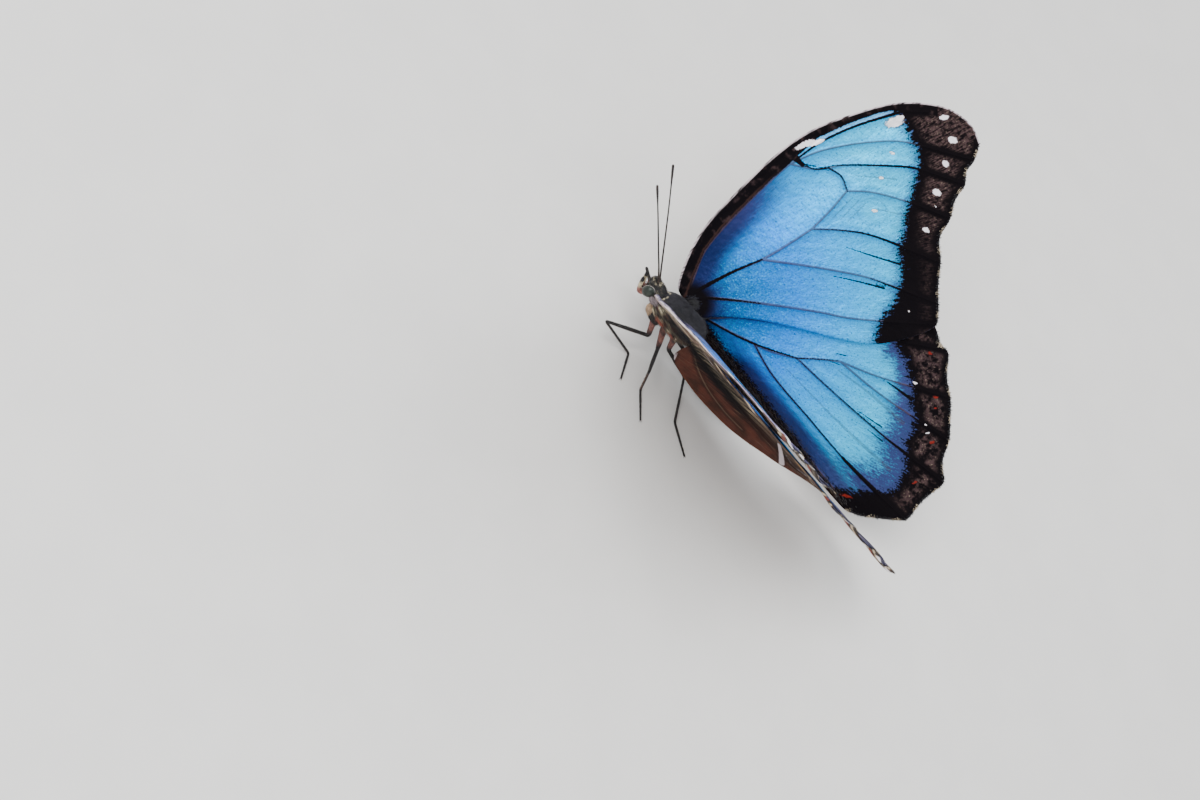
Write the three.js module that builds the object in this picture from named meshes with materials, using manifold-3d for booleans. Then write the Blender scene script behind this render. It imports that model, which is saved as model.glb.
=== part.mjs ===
// A blue morpho butterfly at life size, standing with its wings raised in a V.
// Millimetres, +Z up. The head points towards -X, the left side towards -Y, and the floor is z = 0.
// The butterfly mirrors itself across the plane y = 0.
import * as THREE from "three";
import { mergeVertices } from "three/addons/utils/BufferGeometryUtils.js";
import Module from "manifold-3d";

const wasm = await Module();
wasm.setup();

// ---------------------------------------------------------------- driving sizes
const gap = 0.3; // left between pieces that touch
const bodyHeight = 13.5; // the reference point, between the forewing hinges, over the floor
const bodyPitch = THREE.MathUtils.degToRad(3.5); // the head is carried this much higher than the tail
const bodyX = -20.6; // the reference point along the floor
const wingTilt = THREE.MathUtils.degToRad(45); // each wing from the mirror plane
const hingeSide = 2.0; // hinge line, out from the mirror plane
const hingeUp = 1.5; // hinge line, above the reference point

const membrane = 0.5; // thickness of a wing between its veins
const veinRise = 0.22; // height of a vein over the membrane, on each face
const veinHalfWidth = 0.5; // from the crest of a vein to its foot
const veinStep = 2.6; // between the stations along a vein
const outlineStep = 2.2; // between the points of a wing's edge
const fillStep = 5.2; // between the points that fill the membrane
const edgeClearance = 1.15; // vein and fill points stay this far inside the edge
const forewingDroop = 1.75; // the forewing's front part lies this much lower near the body
const droopStart = 5; // tailward place where it begins to curve down
const droopLength = 9; // length of that curve
const droopReach = 68; // outward place where the droop has faded out
const droopFade = 45; // length over which it fades
const hindwingLift = -1.3; // the hindwing lies this far under the forewing's plane
const foldStart = 3; // outward place where the hindwing starts to bend down beside the abdomen
const foldTurn = 6; // length of that bend
const foldFadeFrom = 36; // the bend fades out tailward between these two places
const foldFadeTo = 54;
const rootThickening = 0.3; // added to half the thickness at the wing's root
const rootReach = 4;

const thorax = { from: -5.9, to: 6.6, up: -2.2, halfWidth: 3.3, halfHeight: 4.1 };
const head = { tail: -7.6, up: -1.5, halfLength: 1.9, halfWidth: 1.95, halfHeight: 2.3 };
const eye = { tail: -8.2, left: 1.7, up: -1.9, halfLength: 1.2, halfWidth: 0.95, halfHeight: 1.5 };

// ---------------------------------------------------------------- materials
function finish(color, roughness, metalness = 0) {
  return new THREE.MeshStandardMaterial({ color, roughness, metalness });
}
const fur = finish(0x2b2723, 0.9);
const abdomenFur = finish(0x3a2a22, 0.9);
const eyeGloss = finish(0x3c4044, 0.3);
const palpScales = finish(0x8a6250, 0.8);
const shell = finish(0x241a16, 0.5);
const wingBlue = finish(0x3f9bdc, 0.4, 0.2);

// ---------------------------------------------------------------- places and solids
// A point given as tailward, left and up from the reference point.
function at(tail, left, up) {
  const along = tail * Math.cos(bodyPitch) + up * Math.sin(bodyPitch);
  const rise = up * Math.cos(bodyPitch) - tail * Math.sin(bodyPitch);
  return new THREE.Vector3(bodyX + along, -left, bodyHeight + rise);
}

// A closed three.js geometry as a solid that can be joined and cut.
function solidOf(geometry) {
  const bare = new THREE.BufferGeometry();
  bare.setAttribute("position", geometry.getAttribute("position"));
  bare.setIndex(geometry.getIndex());
  const merged = mergeVertices(bare, 1e-4);
  const corners = merged.getIndex().array;
  const triangles = [];
  for (let i = 0; i < corners.length; i += 3) {
    const [a, b, c] = [corners[i], corners[i + 1], corners[i + 2]];
    if (a !== b && b !== c && c !== a) triangles.push(a, b, c);
  }
  return new wasm.Manifold(
    new wasm.Mesh({
      numProp: 3,
      vertProperties: new Float32Array(merged.getAttribute("position").array),
      triVerts: new Uint32Array(triangles),
    }),
  );
}

function largestPiece(solid) {
  const pieces = solid.decompose();
  return pieces.reduce((best, piece) => (piece.volume() > best.volume() ? piece : best));
}

// Cuts a piece clear of its grown neighbours, so that it meets them face to face across the gap.
function meet(solid, ...neighbours) {
  return largestPiece(neighbours.reduce((left, other) => left.subtract(other), solid));
}

function meshOf(name, solid, material) {
  const { numProp, vertProperties, triVerts } = solid.getMesh();
  const positions = [];
  for (let i = 0; i < vertProperties.length; i += numProp) {
    positions.push(vertProperties[i], vertProperties[i + 1], vertProperties[i + 2]);
  }
  const geometry = new THREE.BufferGeometry();
  geometry.setAttribute("position", new THREE.Float32BufferAttribute(positions, 3));
  geometry.setIndex(Array.from(triVerts));
  geometry.computeVertexNormals();
  const mesh = new THREE.Mesh(geometry, material);
  mesh.name = name;
  return mesh;
}

const butterfly = new THREE.Group();
butterfly.name = "blue_morpho";

function addPiece(name, solid, material) {
  butterfly.add(meshOf(name, solid, material));
}

const sideNames = [
  ["left", 1],
  ["right", -1],
];

// ---------------------------------------------------------------- round forms along a curve
// A lathe-turned rod whose axis is bent to follow the curve. halfWidth and halfHeight give the section
// at each fraction of the length, and grow swells the whole form for cutting its neighbours clear.
function rod(points, halfWidth, halfHeight, { sides = 8, rings = 8, grow = 0, turn = 0 } = {}) {
  const curve = new THREE.CatmullRomCurve3(points, false, "centripetal");
  const profile = [];
  for (let i = 0; i <= rings; i++) {
    const along = (1 - Math.cos((Math.PI * i) / rings)) / 2;
    profile.push(new THREE.Vector2(i === 0 || i === rings ? 0 : 1, along));
  }
  const geometry = new THREE.LatheGeometry(profile, sides, turn);
  const place = geometry.getAttribute("position");
  for (let i = 0; i < place.count; i++) {
    const along = THREE.MathUtils.clamp(place.getY(i), 0, 1);
    const centre = curve.getPointAt(along);
    const ahead = curve.getTangentAt(along);
    const across = new THREE.Vector3().crossVectors(ahead, new THREE.Vector3(0, 0, 1));
    if (across.length() < 0.2) across.set(0, 1, 0);
    across.normalize();
    const over = new THREE.Vector3().crossVectors(across, ahead);
    centre.addScaledVector(ahead, (2 * along - 1) * grow);
    centre.addScaledVector(across, place.getX(i) * (halfWidth(along) + grow));
    centre.addScaledVector(over, place.getZ(i) * (halfHeight(along) + grow));
    place.setXYZ(i, centre.x, centre.y, centre.z);
  }
  const solid = solidOf(geometry);
  return solid.volume() < 0 ? solidOf(turnedInsideOut(geometry)) : solid;
}

function turnedInsideOut(geometry) {
  const corners = geometry.getIndex().array;
  for (let i = 0; i < corners.length; i += 3) {
    [corners[i], corners[i + 1]] = [corners[i + 1], corners[i]];
  }
  return geometry;
}

// Rounds both ends of a rod: 0 at the ends, 1 between them.
function roundEnds(along, share) {
  const inset = Math.min(along, 1 - along) / share;
  return inset >= 1 ? 1 : Math.sqrt(Math.max(0, 1 - (1 - inset) ** 2));
}

function taper(from, to, share = 0.06) {
  return (along) => THREE.MathUtils.lerp(from, to, along) * roundEnds(along, share);
}

function ellipsoid(centre, size, grow = 0) {
  const geometry = new THREE.SphereGeometry(1, 14, 10);
  geometry.scale(size.halfLength + grow, size.halfWidth + grow, size.halfHeight + grow);
  geometry.rotateY(bodyPitch);
  geometry.translate(centre.x, centre.y, centre.z);
  return solidOf(geometry);
}

// ---------------------------------------------------------------- thorax, head and abdomen
function thoraxSolid(grow = 0) {
  const middle = (thorax.from + thorax.to) / 2;
  const points = [thorax.from, middle, thorax.to].map((tail) => at(tail, 0, thorax.up));
  const barrel = (along) => (1 - Math.abs(2 * along - 1) ** 3.2) ** (1 / 3.2);
  const width = (along) => thorax.halfWidth * barrel(along);
  const height = (along) => thorax.halfHeight * barrel(along);
  return rod(points, width, height, { sides: 18, rings: 14, grow });
}

function headSolid(grow = 0) {
  return ellipsoid(at(head.tail, 0, head.up), head, grow);
}

function eyeSolid(side, grow = 0) {
  return ellipsoid(at(eye.tail, side * eye.left, eye.up), eye, grow);
}

const abdomenSegments = 7;
function abdomenSolid() {
  const points = [at(5.4, 0, -2.5), at(12, 0, -3.3), at(19, 0, -4.9), at(25.2, 0, -7.0)];
  const belly = (along) => 1.25 + 0.85 * Math.sin(Math.PI * Math.min(1, along / 0.8)) ** 0.8;
  const pinch = (along) => 1 - 0.05 * Math.abs(Math.cos(Math.PI * abdomenSegments * along)) ** 6;
  const width = (along) => belly(along) * pinch(along) * roundEnds(along, 0.22) * 0.95;
  const height = (along) => belly(along) * pinch(along) * roundEnds(along, 0.22);
  return rod(points, width, height, { sides: 14, rings: 28 });
}

const grownThorax = thoraxSolid(gap);
const grownHead = headSolid(gap);
addPiece("thorax", thoraxSolid(), fur);
addPiece("head", meet(headSolid(), grownThorax, eyeSolid(1, gap), eyeSolid(-1, gap)), fur);
addPiece("abdomen", meet(abdomenSolid(), grownThorax), abdomenFur);

for (const [sideName, side] of sideNames) {
  addPiece("eye_" + sideName, eyeSolid(side), eyeGloss);

  const palp = rod(
    [
      at(-7.6, side * 0.8, -3.2),
      at(-8.9, side * 0.9, -4.5),
      at(-10.5, side * 0.95, -2.3),
      at(-11.4, side * 0.85, -0.2),
    ],
    taper(0.42, 0.28, 0.1),
    taper(0.6, 0.3, 0.1),
    { rings: 12 },
  );
  addPiece("palp_" + sideName, meet(palp, grownHead, eyeSolid(side, gap)), palpScales);

  const antennaWidth = (along) => (0.25 + 0.12 * along ** 12) * roundEnds(along, 0.02);
  const antenna = rod(
    [at(-8.2, side * 0.4, 0.3), at(-14.5, side * 1.5, 7.1), at(-21.0, side * 2.6, 14.0), at(-27.5, side * 3.6, 20.7)],
    antennaWidth,
    antennaWidth,
    { sides: 6, rings: 20 },
  );
  addPiece("antenna_" + sideName, meet(antenna, grownHead), shell);
}

// The tongue is rolled up like a watch spring under the head.
const coil = { tail: -8.4, up: -4.8, outer: 1.15, inner: 0.35, from: 75, turns: 1.2, thickness: 0.5 };
function tongueSolid() {
  const points = [];
  const steps = 16;
  for (let i = 0; i <= steps; i++) {
    const angle = THREE.MathUtils.degToRad(coil.from + 360 * coil.turns * (i / steps));
    const radius = THREE.MathUtils.lerp(coil.outer, coil.inner, i / steps);
    points.push(at(coil.tail + radius * Math.cos(angle), 0, coil.up + radius * Math.sin(angle)));
  }
  const width = taper(coil.thickness / 2, coil.thickness / 2, 0.04);
  return rod(points, width, width, { sides: 6, rings: 24 });
}
addPiece("proboscis", meet(tongueSolid(), grownHead), shell);

// ---------------------------------------------------------------- legs
// Joints are given for the left side, tailward, left and up, and each foot is tailward and left of the
// reference point, on the floor.
const legs = [
  { name: "fore", hip: [-2.4, 1.5, -5.6], trochanter: [0.1, 2.8, -9.2], knee: [-9.3, 9.5, -9.0], ankle: [-0.5, 6.6], toe: [1.3, 12.8] },
  { name: "middle", hip: [0.8, 1.6, -5.8], trochanter: [3.5, 2.8, -9.4], knee: [3.7, 12.3, -6.1], ankle: [6.2, 11.2], toe: [9.9, 16.8] },
  { name: "hind", hip: [3.5, 1.3, -5.0], trochanter: [5.2, 1.9, -8.3], knee: [12.1, 2.2, -9.6], ankle: [16.4, 10.4], toe: [22.2, 14.8] },
];
const tarsusRadius = 0.34;
const tarsusTipRadius = 0.28;
const tarsusLift = 0.6; // height of the tarsus's axis over the floor, as a share of its radius

// A point on the floor, given tailward and left of the reference point.
function onFloor(tail, left, height) {
  return new THREE.Vector3(bodyX + tail, -left, height);
}

function tarsusSolid(ankle, toe, grow = 0) {
  const points = [0, 0.5, 1].map((share) =>
    onFloor(
      THREE.MathUtils.lerp(ankle[0], toe[0], share),
      THREE.MathUtils.lerp(ankle[1], toe[1], share),
      THREE.MathUtils.lerp(tarsusRadius, tarsusTipRadius, share) * tarsusLift,
    ),
  );
  const width = taper(tarsusRadius, tarsusTipRadius, 0.05);
  const whole = rod(points, width, width, { sides: 12, rings: 10, grow, turn: Math.PI / 12 });
  return whole.trimByPlane([0, 0, 1], grow ? -1 : 0);
}

for (const [sideName, side] of sideNames) {
  for (const leg of legs) {
    const place = ([tail, left, up]) => at(tail, side * left, up);
    const name = leg.name + "leg_";
    const hip = place(leg.hip);
    const trochanter = place(leg.trochanter);
    const knee = place(leg.knee);
    const ankle = [leg.ankle[0], side * leg.ankle[1]];
    const toe = [leg.toe[0], side * leg.toe[1]];
    const heel = onFloor(ankle[0], ankle[1], tarsusRadius);
    const middle = (a, b) => new THREE.Vector3().lerpVectors(a, b, 0.5);
    const limb = (a, b, from, to, grow = 0) =>
      rod([a, middle(a, b), b], taper(from, to), taper(from, to), { rings: 8, grow });

    addPiece(name + "coxa_" + sideName, meet(limb(hip, trochanter, 0.85, 0.55), grownThorax), shell);
    const femur = limb(trochanter, knee, 0.42, 0.34);
    addPiece(name + "femur_" + sideName, meet(femur, limb(hip, trochanter, 0.85, 0.55, gap)), shell);
    const tibia = limb(knee, heel, 0.3, 0.27);
    const neighbours = [limb(trochanter, knee, 0.42, 0.34, gap), tarsusSolid(ankle, toe, gap)];
    addPiece(name + "tibia_" + sideName, meet(tibia, ...neighbours), shell);
    addPiece(name + "tarsus_" + sideName, tarsusSolid(ankle, toe), shell);
  }
}

// ---------------------------------------------------------------- wings
// A wing is drawn flat, each point tailward and outward from its hinge, then bent into place.
// Margins run from the front of the root round the tip to the back of the root.
const forewing = {
  lift: forewingLift,
  fold: false,
  leading: [
    [-3.4, -1], [-5.6, 1.6], [-8.5, 6.8], [-10.7, 13], [-11.8, 22], [-12.5, 34], [-11.5, 42], [-9.1, 49],
    [-5.1, 57.5], [-1.4, 62.1], [3.5, 65.9], [9.1, 67.3], [13.3, 66.4],
  ],
  tips: [
    [13.3, 66.4, 0], [15.4, 63.5, 0], [18, 58.9, 0.9], [21.5, 52.3, 1], [27.4, 45, 1.3], [34, 39.4, 0],
    [37.5, 36.5, 0],
  ],
  inner: [[37.5, 36.5], [37.3, 34.2], [35.5, 30], [31.8, 23.8], [26.2, 19], [18.9, 13.9], [11.9, 8.7], [5.8, 2.8], [3, -1]],
  veins: [
    [[-1.6, 0.1], [-4.1, 4.3], [-6.7, 9.3], [-8.5, 21.4], [-9.1, 33.7], [-8.5, 41.2], [-6.8, 47.8], [-2.7, 57.6], [1, 62]],
    [[-9.1, 33.7], [-7.5, 39.2], [-5.2, 43.9], [-1.9, 49.1], [1.9, 53.9], [6.2, 57.2], [15.4, 63.5]],
    [[-9.1, 33.7], [-4.9, 37], [-3.3, 39.3], [-2.2, 41.4], [4.5, 49.2], [8.3, 52.9], [18, 58.9]],
    [[-3.3, 39.3], [-0.3, 40.2], [2.7, 39.2]],
    [[2.7, 39.2], [6, 42.7], [12.3, 47.2], [21.5, 52.3]],
    [[2.7, 39.2], [3.6, 34], [4.1, 28.8]],
    [[4.1, 28.8], [8.1, 33.1], [13.1, 37.3], [27.4, 45]],
    [[-1.6, 0.6], [-1.1, 3.4], [0.3, 10.2], [2.3, 17], [3.4, 23.5], [4.1, 28.8]],
    [[2.3, 17], [8.3, 22.3], [14.9, 27.8], [20.2, 31.7], [34, 39.4]],
    [[-1.1, 0.6], [2.9, 5.2], [9.1, 11], [18.9, 19.3], [24, 23.3], [37.5, 36.5]],
  ],
};
const hindwing = {
  lift: () => hindwingLift,
  fold: true,
  leading: [[3.6, -1], [3.6, 3], [5.5, 11], [11, 20.5], [19, 28.5], [28, 34], [35.5, 36.4], [39.6, 35.7]],
  tips: [
    [39.6, 35.7, -0.5], [43.9, 35.1, 1], [52.5, 29.2, 0.7], [59.9, 23.3, 0.2], [66.2, 16.7, 1], [67.3, 5.4, 0.3],
    [60, -1.5, 0], [56.8, -3.2, 0],
  ],
  inner: [
    [56.8, -3.2], [50, -3.5], [43, -4.4], [37, -6], [31, -8.2], [25, -9.9], [18, -10.7], [12.5, -10.1],
    [8.1, -9.2], [6.2, -7.8], [5.8, -5], [6.1, -1],
  ],
  veins: [
    [[4.6, -0.2], [8, 1.4], [12.3, 3.4], [15.3, 4.7], [18.8, 6.3], [23.7, 9.6]],
    [[15.3, 4.7], [22.3, 3.5], [36, 3.5], [49.7, 3.7], [67.3, 5.4]],
    [[23.7, 9.6], [30.7, 10.4], [45.5, 12.5], [66.2, 16.7]],
    [[23.7, 9.6], [27.1, 13.2], [30.3, 16.1]],
    [[30.3, 16.1], [40.2, 17.9], [49.5, 20.3], [59.9, 23.3]],
    [[30.3, 16.1], [37, 19.5], [44, 23.8], [52.5, 29.2]],
    [[4.9, 0.8], [8, 5], [13, 9.5], [22, 17.5], [33, 26.5], [43.9, 35.1]],
    [[13, 9.5], [20, 19.5], [30, 29], [39.6, 35.7]],
    [[5.2, -1.2], [14, -2.4], [30, -3.4], [45, -2.4], [60, -1.5]],
    [[7.6, -2.7], [10.5, -4.6], [16, -6.6], [22, -7.2], [28, -6.6]],
  ],
};

function forewingLift(tail, out) {
  const frontward = THREE.MathUtils.smoothstep(droopStart - tail, 0, droopLength);
  return -forewingDroop * frontward * Math.min(1, (droopReach - out) / droopFade);
}

// The place of a flat wing point. The hindwing's inner part bends down beside the abdomen.
function onWing(wing, side, tail, out, over) {
  const lift = wing.lift(tail, out) + over;
  const fade = THREE.MathUtils.smoothstep(foldFadeTo - tail, 0, foldFadeTo - foldFadeFrom);
  const flatOut = wing.fold ? Math.max(out, foldStart) : out;
  let lean = wingTilt;
  let left = hingeSide + flatOut * Math.sin(wingTilt);
  let up = hingeUp + flatOut * Math.cos(wingTilt);
  const steps = 12;
  const step = (flatOut - out) / steps;
  for (let i = 0; i < steps && step > 0; i++) {
    const bent = Math.min(1, ((i + 0.5) * step) / foldTurn) * fade;
    lean = wingTilt * (1 - bent);
    left -= step * Math.sin(lean);
    up -= step * Math.cos(lean);
  }
  return at(tail, side * (left - lift * Math.cos(lean)), up + lift * Math.sin(lean));
}

function splinePoints(points, step) {
  const curve = new THREE.SplineCurve(points.map(([x, y]) => new THREE.Vector2(x, y)));
  const count = Math.max(1, Math.round(curve.getLength() / step));
  return curve.getSpacedPoints(count).map(({ x, y }) => [x, y]);
}

// The outer margin is scalloped: it dips towards the root between two vein tips, or bulges where the
// depth is below zero.
function scallops(tips) {
  const points = [];
  for (let i = 0; i + 1 < tips.length; i++) {
    const [fromTail, fromOut, depth] = tips[i];
    const [toTail, toOut] = tips[i + 1];
    const length = Math.hypot(toTail - fromTail, toOut - fromOut);
    const inward = [(toOut - fromOut) / length, -(toTail - fromTail) / length];
    const count = Math.max(1, Math.round(length / outlineStep));
    for (let j = 0; j < count; j++) {
      const share = j / count;
      const dip = depth * Math.sin(Math.PI * share) ** 2;
      points.push([
        THREE.MathUtils.lerp(fromTail, toTail, share) + dip * inward[0],
        THREE.MathUtils.lerp(fromOut, toOut, share) + dip * inward[1],
      ]);
    }
  }
  return points;
}

function wingOutline(wing) {
  const leading = splinePoints(wing.leading, outlineStep).slice(0, -1);
  const inner = splinePoints(wing.inner, outlineStep);
  return [...leading, ...scallops(wing.tips), ...inner];
}

function distanceToLine([x, y], line) {
  let nearest = Infinity;
  for (let i = 0; i + 1 < line.length; i++) {
    const [ax, ay] = line[i];
    const [bx, by] = line[i + 1];
    const length = (bx - ax) ** 2 + (by - ay) ** 2;
    const share = THREE.MathUtils.clamp(((x - ax) * (bx - ax) + (y - ay) * (by - ay)) / length, 0, 1);
    nearest = Math.min(nearest, Math.hypot(ax + share * (bx - ax) - x, ay + share * (by - ay) - y));
  }
  return nearest;
}

function isInside([x, y], outline) {
  let inside = false;
  outline.forEach(([ax, ay], i) => {
    const [bx, by] = outline[(i + 1) % outline.length];
    if (ay > y !== by > y && x < ax + ((y - ay) / (by - ay)) * (bx - ax)) inside = !inside;
  });
  return inside;
}

// A smooth line through the given points, which are all kept, with more points about a step apart.
function lineThrough(points, step) {
  const curve = new THREE.SplineCurve(points.map(([x, y]) => new THREE.Vector2(x, y)));
  const line = [points[0]];
  for (let i = 0; i + 1 < points.length; i++) {
    const length = Math.hypot(points[i + 1][0] - points[i][0], points[i + 1][1] - points[i][1]);
    const count = Math.max(1, Math.round(length / step));
    for (let j = 1; j <= count; j++) {
      const { x, y } = curve.getPoint((i + j / count) / (points.length - 1));
      line.push([x, y]);
    }
  }
  return line;
}

// Halves the steps of each vein until no other point is in the circle across one. The triangles then
// keep every step as an edge, so that the crest runs on unbroken through its forks.
function splitCrests(points, veins) {
  const shortest = 0.5;
  for (const vein of veins) {
    for (let i = 0; i + 1 < vein.length; i++) {
      const [[ax, ay], [bx, by]] = [vein[i], vein[i + 1]];
      const middle = [(ax + bx) / 2, (ay + by) / 2];
      const radius = Math.hypot(bx - ax, by - ay) / 2;
      const reach = radius - 1e-6;
      const crossed = points.some(([x, y]) => {
        const isEnd = Math.hypot(x - ax, y - ay) < 1e-6 || Math.hypot(x - bx, y - by) < 1e-6;
        return !isEnd && Math.hypot(x - middle[0], y - middle[1]) < reach;
      });
      if (crossed && radius > shortest) {
        vein.splice(i + 1, 0, middle);
        points.push(middle);
        i -= 1;
      }
    }
  }
}

// Three rows of points along each vein, its two feet and its crest, and wider-spaced points between.
function wingPoints(outline, veins) {
  const closed = [...outline, outline[0]];
  const points = [...outline];
  const add = (point, apart) => {
    if (!isInside(point, outline) || distanceToLine(point, closed) < edgeClearance) return;
    if (points.every(([x, y]) => Math.hypot(x - point[0], y - point[1]) >= apart)) points.push(point);
  };
  const addFoot = (point) => {
    const onRidge = veins.some((vein) => distanceToLine(point, vein) < 0.9 * veinHalfWidth);
    if (!onRidge) add(point, 0.75 * veinHalfWidth);
  };
  veins.forEach((vein) => vein.forEach((point) => add(point, 0.2)));
  veins.forEach((vein) =>
    vein.forEach(([x, y], i) => {
      const [ax, ay] = vein[Math.max(0, i - 1)];
      const [bx, by] = vein[Math.min(vein.length - 1, i + 1)];
      const length = Math.hypot(bx - ax, by - ay);
      const along = [((bx - ax) / length) * veinHalfWidth, ((by - ay) / length) * veinHalfWidth];
      addFoot([x - along[1], y + along[0]]);
      addFoot([x + along[1], y - along[0]]);
      if (i === 0) addFoot([x - along[0], y - along[1]]);
      if (i === vein.length - 1) addFoot([x + along[0], y + along[1]]);
    }),
  );
  splitCrests(points, veins);
  const tails = outline.map(([tail]) => tail);
  const outs = outline.map(([, out]) => out);
  let row = 0;
  for (let out = Math.min(...outs); out < Math.max(...outs); out += fillStep * 0.87) {
    row += 1;
    for (let tail = Math.min(...tails); tail < Math.max(...tails); tail += fillStep) {
      const point = [tail + (row % 2) * fillStep * 0.5, out];
      const clear = [closed, ...veins].every((line) => distanceToLine(point, line) > 0.35 * fillStep);
      if (clear) add(point, 0.35 * fillStep);
    }
  }
  return points;
}

// Delaunay triangles of flat points, added one at a time inside one great triangle.
function delaunay(points) {
  const far = 1e4;
  const nudge = (i) => 1e-4 * Math.sin(i * 12.9898);
  const all = points.map(([x, y], i) => [x + nudge(i), y + nudge(i + 0.5)]);
  const count = all.length;
  all.push([-far, -far], [far, -far], [0, far]);
  let triangles = [[count, count + 1, count + 2]];
  for (let i = 0; i < count; i++) {
    const rim = new Map();
    triangles = triangles.filter((triangle) => {
      if (!isInCircle(all[i], ...triangle.map((corner) => all[corner]))) return true;
      triangle.forEach((from, j) => {
        const to = triangle[(j + 1) % 3];
        if (!rim.delete(to + "," + from)) rim.set(from + "," + to, [from, to]);
      });
      return false;
    });
    for (const [from, to] of rim.values()) triangles.push([from, to, i]);
  }
  return triangles.filter((triangle) => triangle.every((corner) => corner < count));
}

// Whether a point lies in the circle through three corners that run anticlockwise.
function isInCircle([x, y], ...corners) {
  const [a, b, c] = corners.map(([cx, cy]) => [cx - x, cy - y, (cx - x) ** 2 + (cy - y) ** 2]);
  const minor = (p, q) => p[0] * q[1] - q[0] * p[1];
  return a[2] * minor(b, c) - b[2] * minor(a, c) + c[2] * minor(a, b) > 0;
}

// Half the thickness of a wing at a flat point: membrane, vein ridge and the thick root.
function halfThickness(point, veins) {
  const nearest = Math.min(...veins.map((vein) => distanceToLine(point, vein)));
  const ridge = veinRise * Math.max(0, 1 - nearest / veinHalfWidth);
  const root = rootThickening * Math.max(0, 1 - Math.hypot(point[0], point[1]) / rootReach);
  return membrane / 2 + ridge + root;
}

// Both faces carry the same triangles, and a wall closes the edge between them.
function wingSolid(wing, side) {
  const outline = wingOutline(wing);
  const veins = wing.veins.map((vein) => lineThrough(vein, veinStep));
  const points = wingPoints(outline, veins);
  const faces = delaunay(points).filter((triangle) => {
    const middle = [0, 1].map((k) => triangle.reduce((sum, corner) => sum + points[corner][k], 0) / 3);
    return isInside(middle, outline);
  });
  const positions = [];
  for (const face of [1, -1]) {
    points.forEach((point) => {
      const over = face * halfThickness(point, veins);
      positions.push(...onWing(wing, side, point[0], point[1], over).toArray());
    });
  }
  const count = points.length;
  const rim = new Map();
  const corners = [];
  for (const [a, b, c] of faces) {
    corners.push(a, b, c, a + count, c + count, b + count);
    for (const [from, to] of [[a, b], [b, c], [c, a]]) {
      if (!rim.delete(to + "," + from)) rim.set(from + "," + to, [from, to]);
    }
  }
  for (const [from, to] of rim.values()) {
    corners.push(to, from, to + count, from, from + count, to + count);
  }
  const geometry = new THREE.BufferGeometry();
  geometry.setAttribute("position", new THREE.Float32BufferAttribute(positions, 3));
  geometry.setIndex(corners);
  const solid = solidOf(geometry);
  return solid.volume() < 0 ? solidOf(turnedInsideOut(geometry)) : solid;
}

for (const [sideName, side] of sideNames) {
  addPiece("forewing_" + sideName, meet(wingSolid(forewing, side), grownThorax), wingBlue);
  addPiece("hindwing_" + sideName, meet(wingSolid(hindwing, side), grownThorax), wingBlue);
}

export default butterfly;
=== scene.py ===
"""A museum model of a blue morpho butterfly, life-size, standing with its wings raised in a V.

The head points towards -X, the left side towards -Y and the floor is z = 0. The tables give millimetres,
measured tailward, to the left and up from the point between the wing hinges, which the body's pitch turns
with it. A place on a wing is given tailward and outward from its hinge, on the flat wing.
"""
import math

import bpy
import numpy as np
from bpy.props import FloatProperty, FloatVectorProperty, PointerProperty
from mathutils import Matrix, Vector
from mathutils.geometry import delaunay_2d_cdt


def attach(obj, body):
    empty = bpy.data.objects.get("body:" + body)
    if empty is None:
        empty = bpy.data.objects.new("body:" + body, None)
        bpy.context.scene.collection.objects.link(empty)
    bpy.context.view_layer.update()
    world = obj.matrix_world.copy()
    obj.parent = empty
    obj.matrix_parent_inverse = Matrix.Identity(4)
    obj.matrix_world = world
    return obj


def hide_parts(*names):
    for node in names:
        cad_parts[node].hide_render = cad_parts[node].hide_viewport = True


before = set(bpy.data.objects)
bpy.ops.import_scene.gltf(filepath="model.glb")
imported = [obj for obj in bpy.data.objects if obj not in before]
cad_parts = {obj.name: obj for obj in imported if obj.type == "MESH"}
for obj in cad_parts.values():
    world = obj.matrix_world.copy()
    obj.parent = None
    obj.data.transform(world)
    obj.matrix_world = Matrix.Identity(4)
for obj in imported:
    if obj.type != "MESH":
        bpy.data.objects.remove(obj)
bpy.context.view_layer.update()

bl_info = {
    "name": "Blue Morpho Museum Model",
    "version": (1, 0, 0),
    "blender": (4, 5, 0),
    "location": "3D View > Sidebar > Butterfly",
    "description": "Builds a life-size blue morpho butterfly from its wings, body, coat and legs",
    "category": "Object",
}

MM = 0.001
BODY = "root"
SIDES = {"left": 1, "right": -1}

# ---------------------------------------------------------------- sizes of the body, in millimetres
BODY_X = -20.6  # the reference point along the floor
BODY_HEIGHT = 13.5  # and over it
PITCH = math.radians(3.5)  # the head is carried this much higher than the tail
WING_TILT = math.radians(45)  # each wing from the mirror plane
HINGE_SIDE = 2.0  # hinge line, out from the mirror plane
HINGE_UP = 1.5  # hinge line, above the reference point
FOLD_START = 3.0  # outward place where the hindwing starts to bend down beside the abdomen
FOLD_TURN = 6.0  # length of that bend
FOLD_FADE = (36.0, 54.0)  # tailward places between which the bend fades out
FOLD_STEPS = 12  # the bend is followed in this many steps
DROOP = 1.75  # the forewing's front part lies this much lower near the body
DROOP_START = 5.0  # tailward place ahead of which it begins to curve down
DROOP_LENGTH = 9.0  # how much further ahead it is down all the way
DROOP_REACH = 68.0  # outward place where the droop has faded out
DROOP_FADE = 45.0  # length over which it fades
HINDWING_LIFT = -1.3  # the hindwing lies this far under the forewing's plane


def tone(code):
    """A colour written as red, green and blue bytes, in the linear values that materials take."""
    bytes_ = [(code >> shift & 255) / 255 for shift in (16, 8, 0)]
    return tuple(b / 12.92 if b < 0.04045 else ((b + 0.055) / 1.055) ** 2.4 for b in bytes_)


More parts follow.
